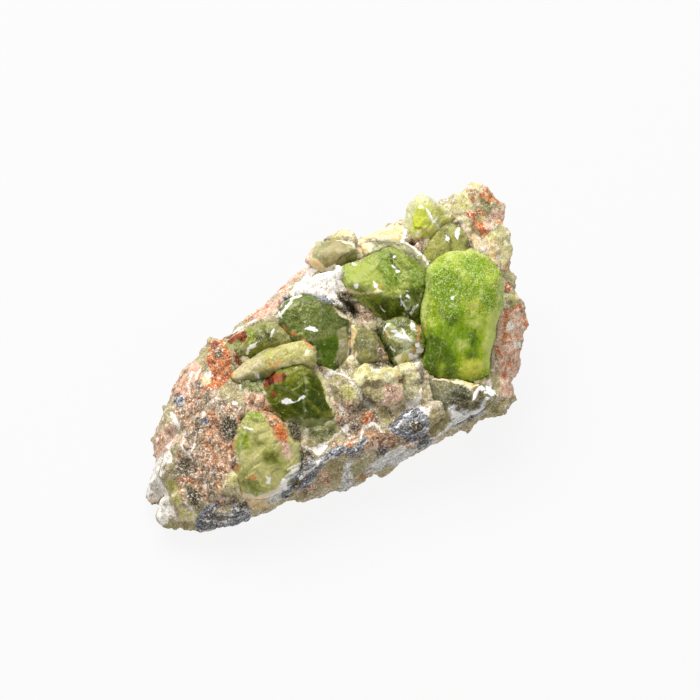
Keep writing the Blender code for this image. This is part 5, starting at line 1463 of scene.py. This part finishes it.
def make_floor(stage):
    bm = bmesh.new()
    bmesh.ops.create_grid(bm, x_segments=1, y_segments=1, size=stage.floor_width / 2)
    mesh = bpy.data.meshes.new("floor")
    bm.to_mesh(mesh)
    bm.free()
    floor = bpy.data.objects.new("floor", mesh)
    bpy.context.scene.collection.objects.link(floor)
    paint = Paint("floor_finish")
    grain = paint.noise(paint.place(), 0.02, 2)
    shade = paint.mix(grain * 0.02, stage.floor, (0.036, 0.036, 0.036))
    shader = paint.node(
        "ShaderNodeBsdfPrincipled", None,
        {"Base Color": shade, "Roughness": 0.9, "Specular IOR Level": 0.1, "Emission Color": (1, 0.998, 0.998, 1),
         "Emission Strength": stage.floor_glow})
    mesh.materials.append(paint.finish(shader))


def make_lamp(name, place, power, size):
    data = bpy.data.lights.new(name, "AREA")
    data.energy = power
    data.size = size
    lamp = bpy.data.objects.new(name, data)
    lamp.location = LOOK_AT + place
    lamp.rotation_mode = "QUATERNION"
    lamp.rotation_quaternion = place.to_track_quat("Z", "Y")
    bpy.context.scene.collection.objects.link(lamp)


def make_camera(stage):
    data = bpy.data.cameras.new("camera")
    data.lens = stage.lens
    data.sensor_width = SENSOR_WIDTH
    data.clip_start = 0.01
    data.clip_end = 10
    camera = bpy.data.objects.new("camera", data)
    camera.location = camera_place(stage)
    camera.rotation_mode = "QUATERNION"
    camera.rotation_quaternion = camera_axes()[2].to_track_quat("Z", "Y")
    bpy.context.scene.collection.objects.link(camera)
    bpy.context.scene.camera = camera


def make_surround(stage):
    world = bpy.data.worlds.new("surround")
    bpy.context.scene.world = world
    world.use_nodes = True
    background = world.node_tree.nodes["Background"]
    background.inputs["Color"].default_value = (1, 1, 1, 1)
    background.inputs["Strength"].default_value = stage.surround


class PERIDOT_OT_stage(bpy.types.Operator):
    """Lays the pale floor and sets the lights and the camera"""

    bl_idname = "peridot.stage"
    bl_label = "Floor, Lights and Camera"

    def execute(self, context):
        stage = context.scene.peridot_stage
        context.scene.view_settings.view_transform = "Standard"
        make_floor(stage)
        make_surround(stage)
        make_lamp("key_lamp", Vector((0.02, 0.22, 0.42)), stage.key_power, 0.45)
        make_lamp("front_lamp", Vector((0.05, -0.40, 0.32)), stage.front_power, 0.12)
        make_camera(stage)
        return {"FINISHED"}


class PERIDOT_OT_rock(bpy.types.Operator):
    """Makes the host rock with its grains, crusts, stains and vein"""

    bl_idname = "peridot.rock"
    bl_label = "Host Rock"

    def execute(self, context):
        make_rock(context.scene)
        return {"FINISHED"}


class PERIDOT_OT_clear_crystals(bpy.types.Operator):
    """Makes the bright and light green crystals"""

    bl_idname = "peridot.clear_crystals"
    bl_label = "Clear Crystals"

    def execute(self, context):
        for node in CLEAR_CRYSTALS:
            make_crystal(node, context.scene)
        return {"FINISHED"}


class PERIDOT_OT_dark_crystals(bpy.types.Operator):
    """Makes the dark green crystals"""

    bl_idname = "peridot.dark_crystals"
    bl_label = "Dark Crystals"

    def execute(self, context):
        for node in DARK_CRYSTALS:
            make_crystal(node, context.scene)
        return {"FINISHED"}


class PERIDOT_OT_cloudy_crystals(bpy.types.Operator):
    """Makes the grey, olive and pale cloudy crystals"""

    bl_idname = "peridot.cloudy_crystals"
    bl_label = "Cloudy Crystals"

    def execute(self, context):
        for node in CLOUDY_CRYSTALS:
            make_crystal(node, context.scene)
        return {"FINISHED"}


OPERATORS = [PERIDOT_OT_stage, PERIDOT_OT_rock, PERIDOT_OT_clear_crystals, PERIDOT_OT_dark_crystals,
             PERIDOT_OT_cloudy_crystals]


class PERIDOT_PT_looks(bpy.types.Panel):
    """Lists the steps that dress the stone, in their order"""

    bl_idname = "PERIDOT_PT_looks"
    bl_label = "Rough Peridot"
    bl_space_type = "VIEW_3D"
    bl_region_type = "UI"
    bl_category = "Peridot"

    def draw(self, context):
        scene = context.scene
        for operator in OPERATORS:
            self.layout.operator(operator.bl_idname)
        for settings in (scene.peridot_rock, scene.peridot_crust, scene.peridot_crystals, scene.peridot_stage):
            box = self.layout.box()
            for key in settings.bl_rna.properties.keys():
                if key not in ("rna_type", "name"):
                    box.prop(settings, key)


SETTINGS = {"peridot_rock": RockSettings, "peridot_crust": CrustSettings, "peridot_crystals": CrystalSettings,
            "peridot_stage": StageSettings}
CLASSES = [*SETTINGS.values(), *OPERATORS, PERIDOT_PT_looks]


def register():
    for kind in CLASSES:
        bpy.utils.register_class(kind)
    for name, kind in SETTINGS.items():
        setattr(bpy.types.Scene, name, bpy.props.PointerProperty(type=kind))


def unregister():
    for name in SETTINGS:
        delattr(bpy.types.Scene, name)
    for kind in reversed(CLASSES):
        bpy.utils.unregister_class(kind)


def main():
    register()
    bpy.ops.peridot.stage()
    bpy.ops.peridot.rock()
    bpy.ops.peridot.clear_crystals()
    bpy.ops.peridot.dark_crystals()
    bpy.ops.peridot.cloudy_crystals()


if __name__ == "__main__":
    main()
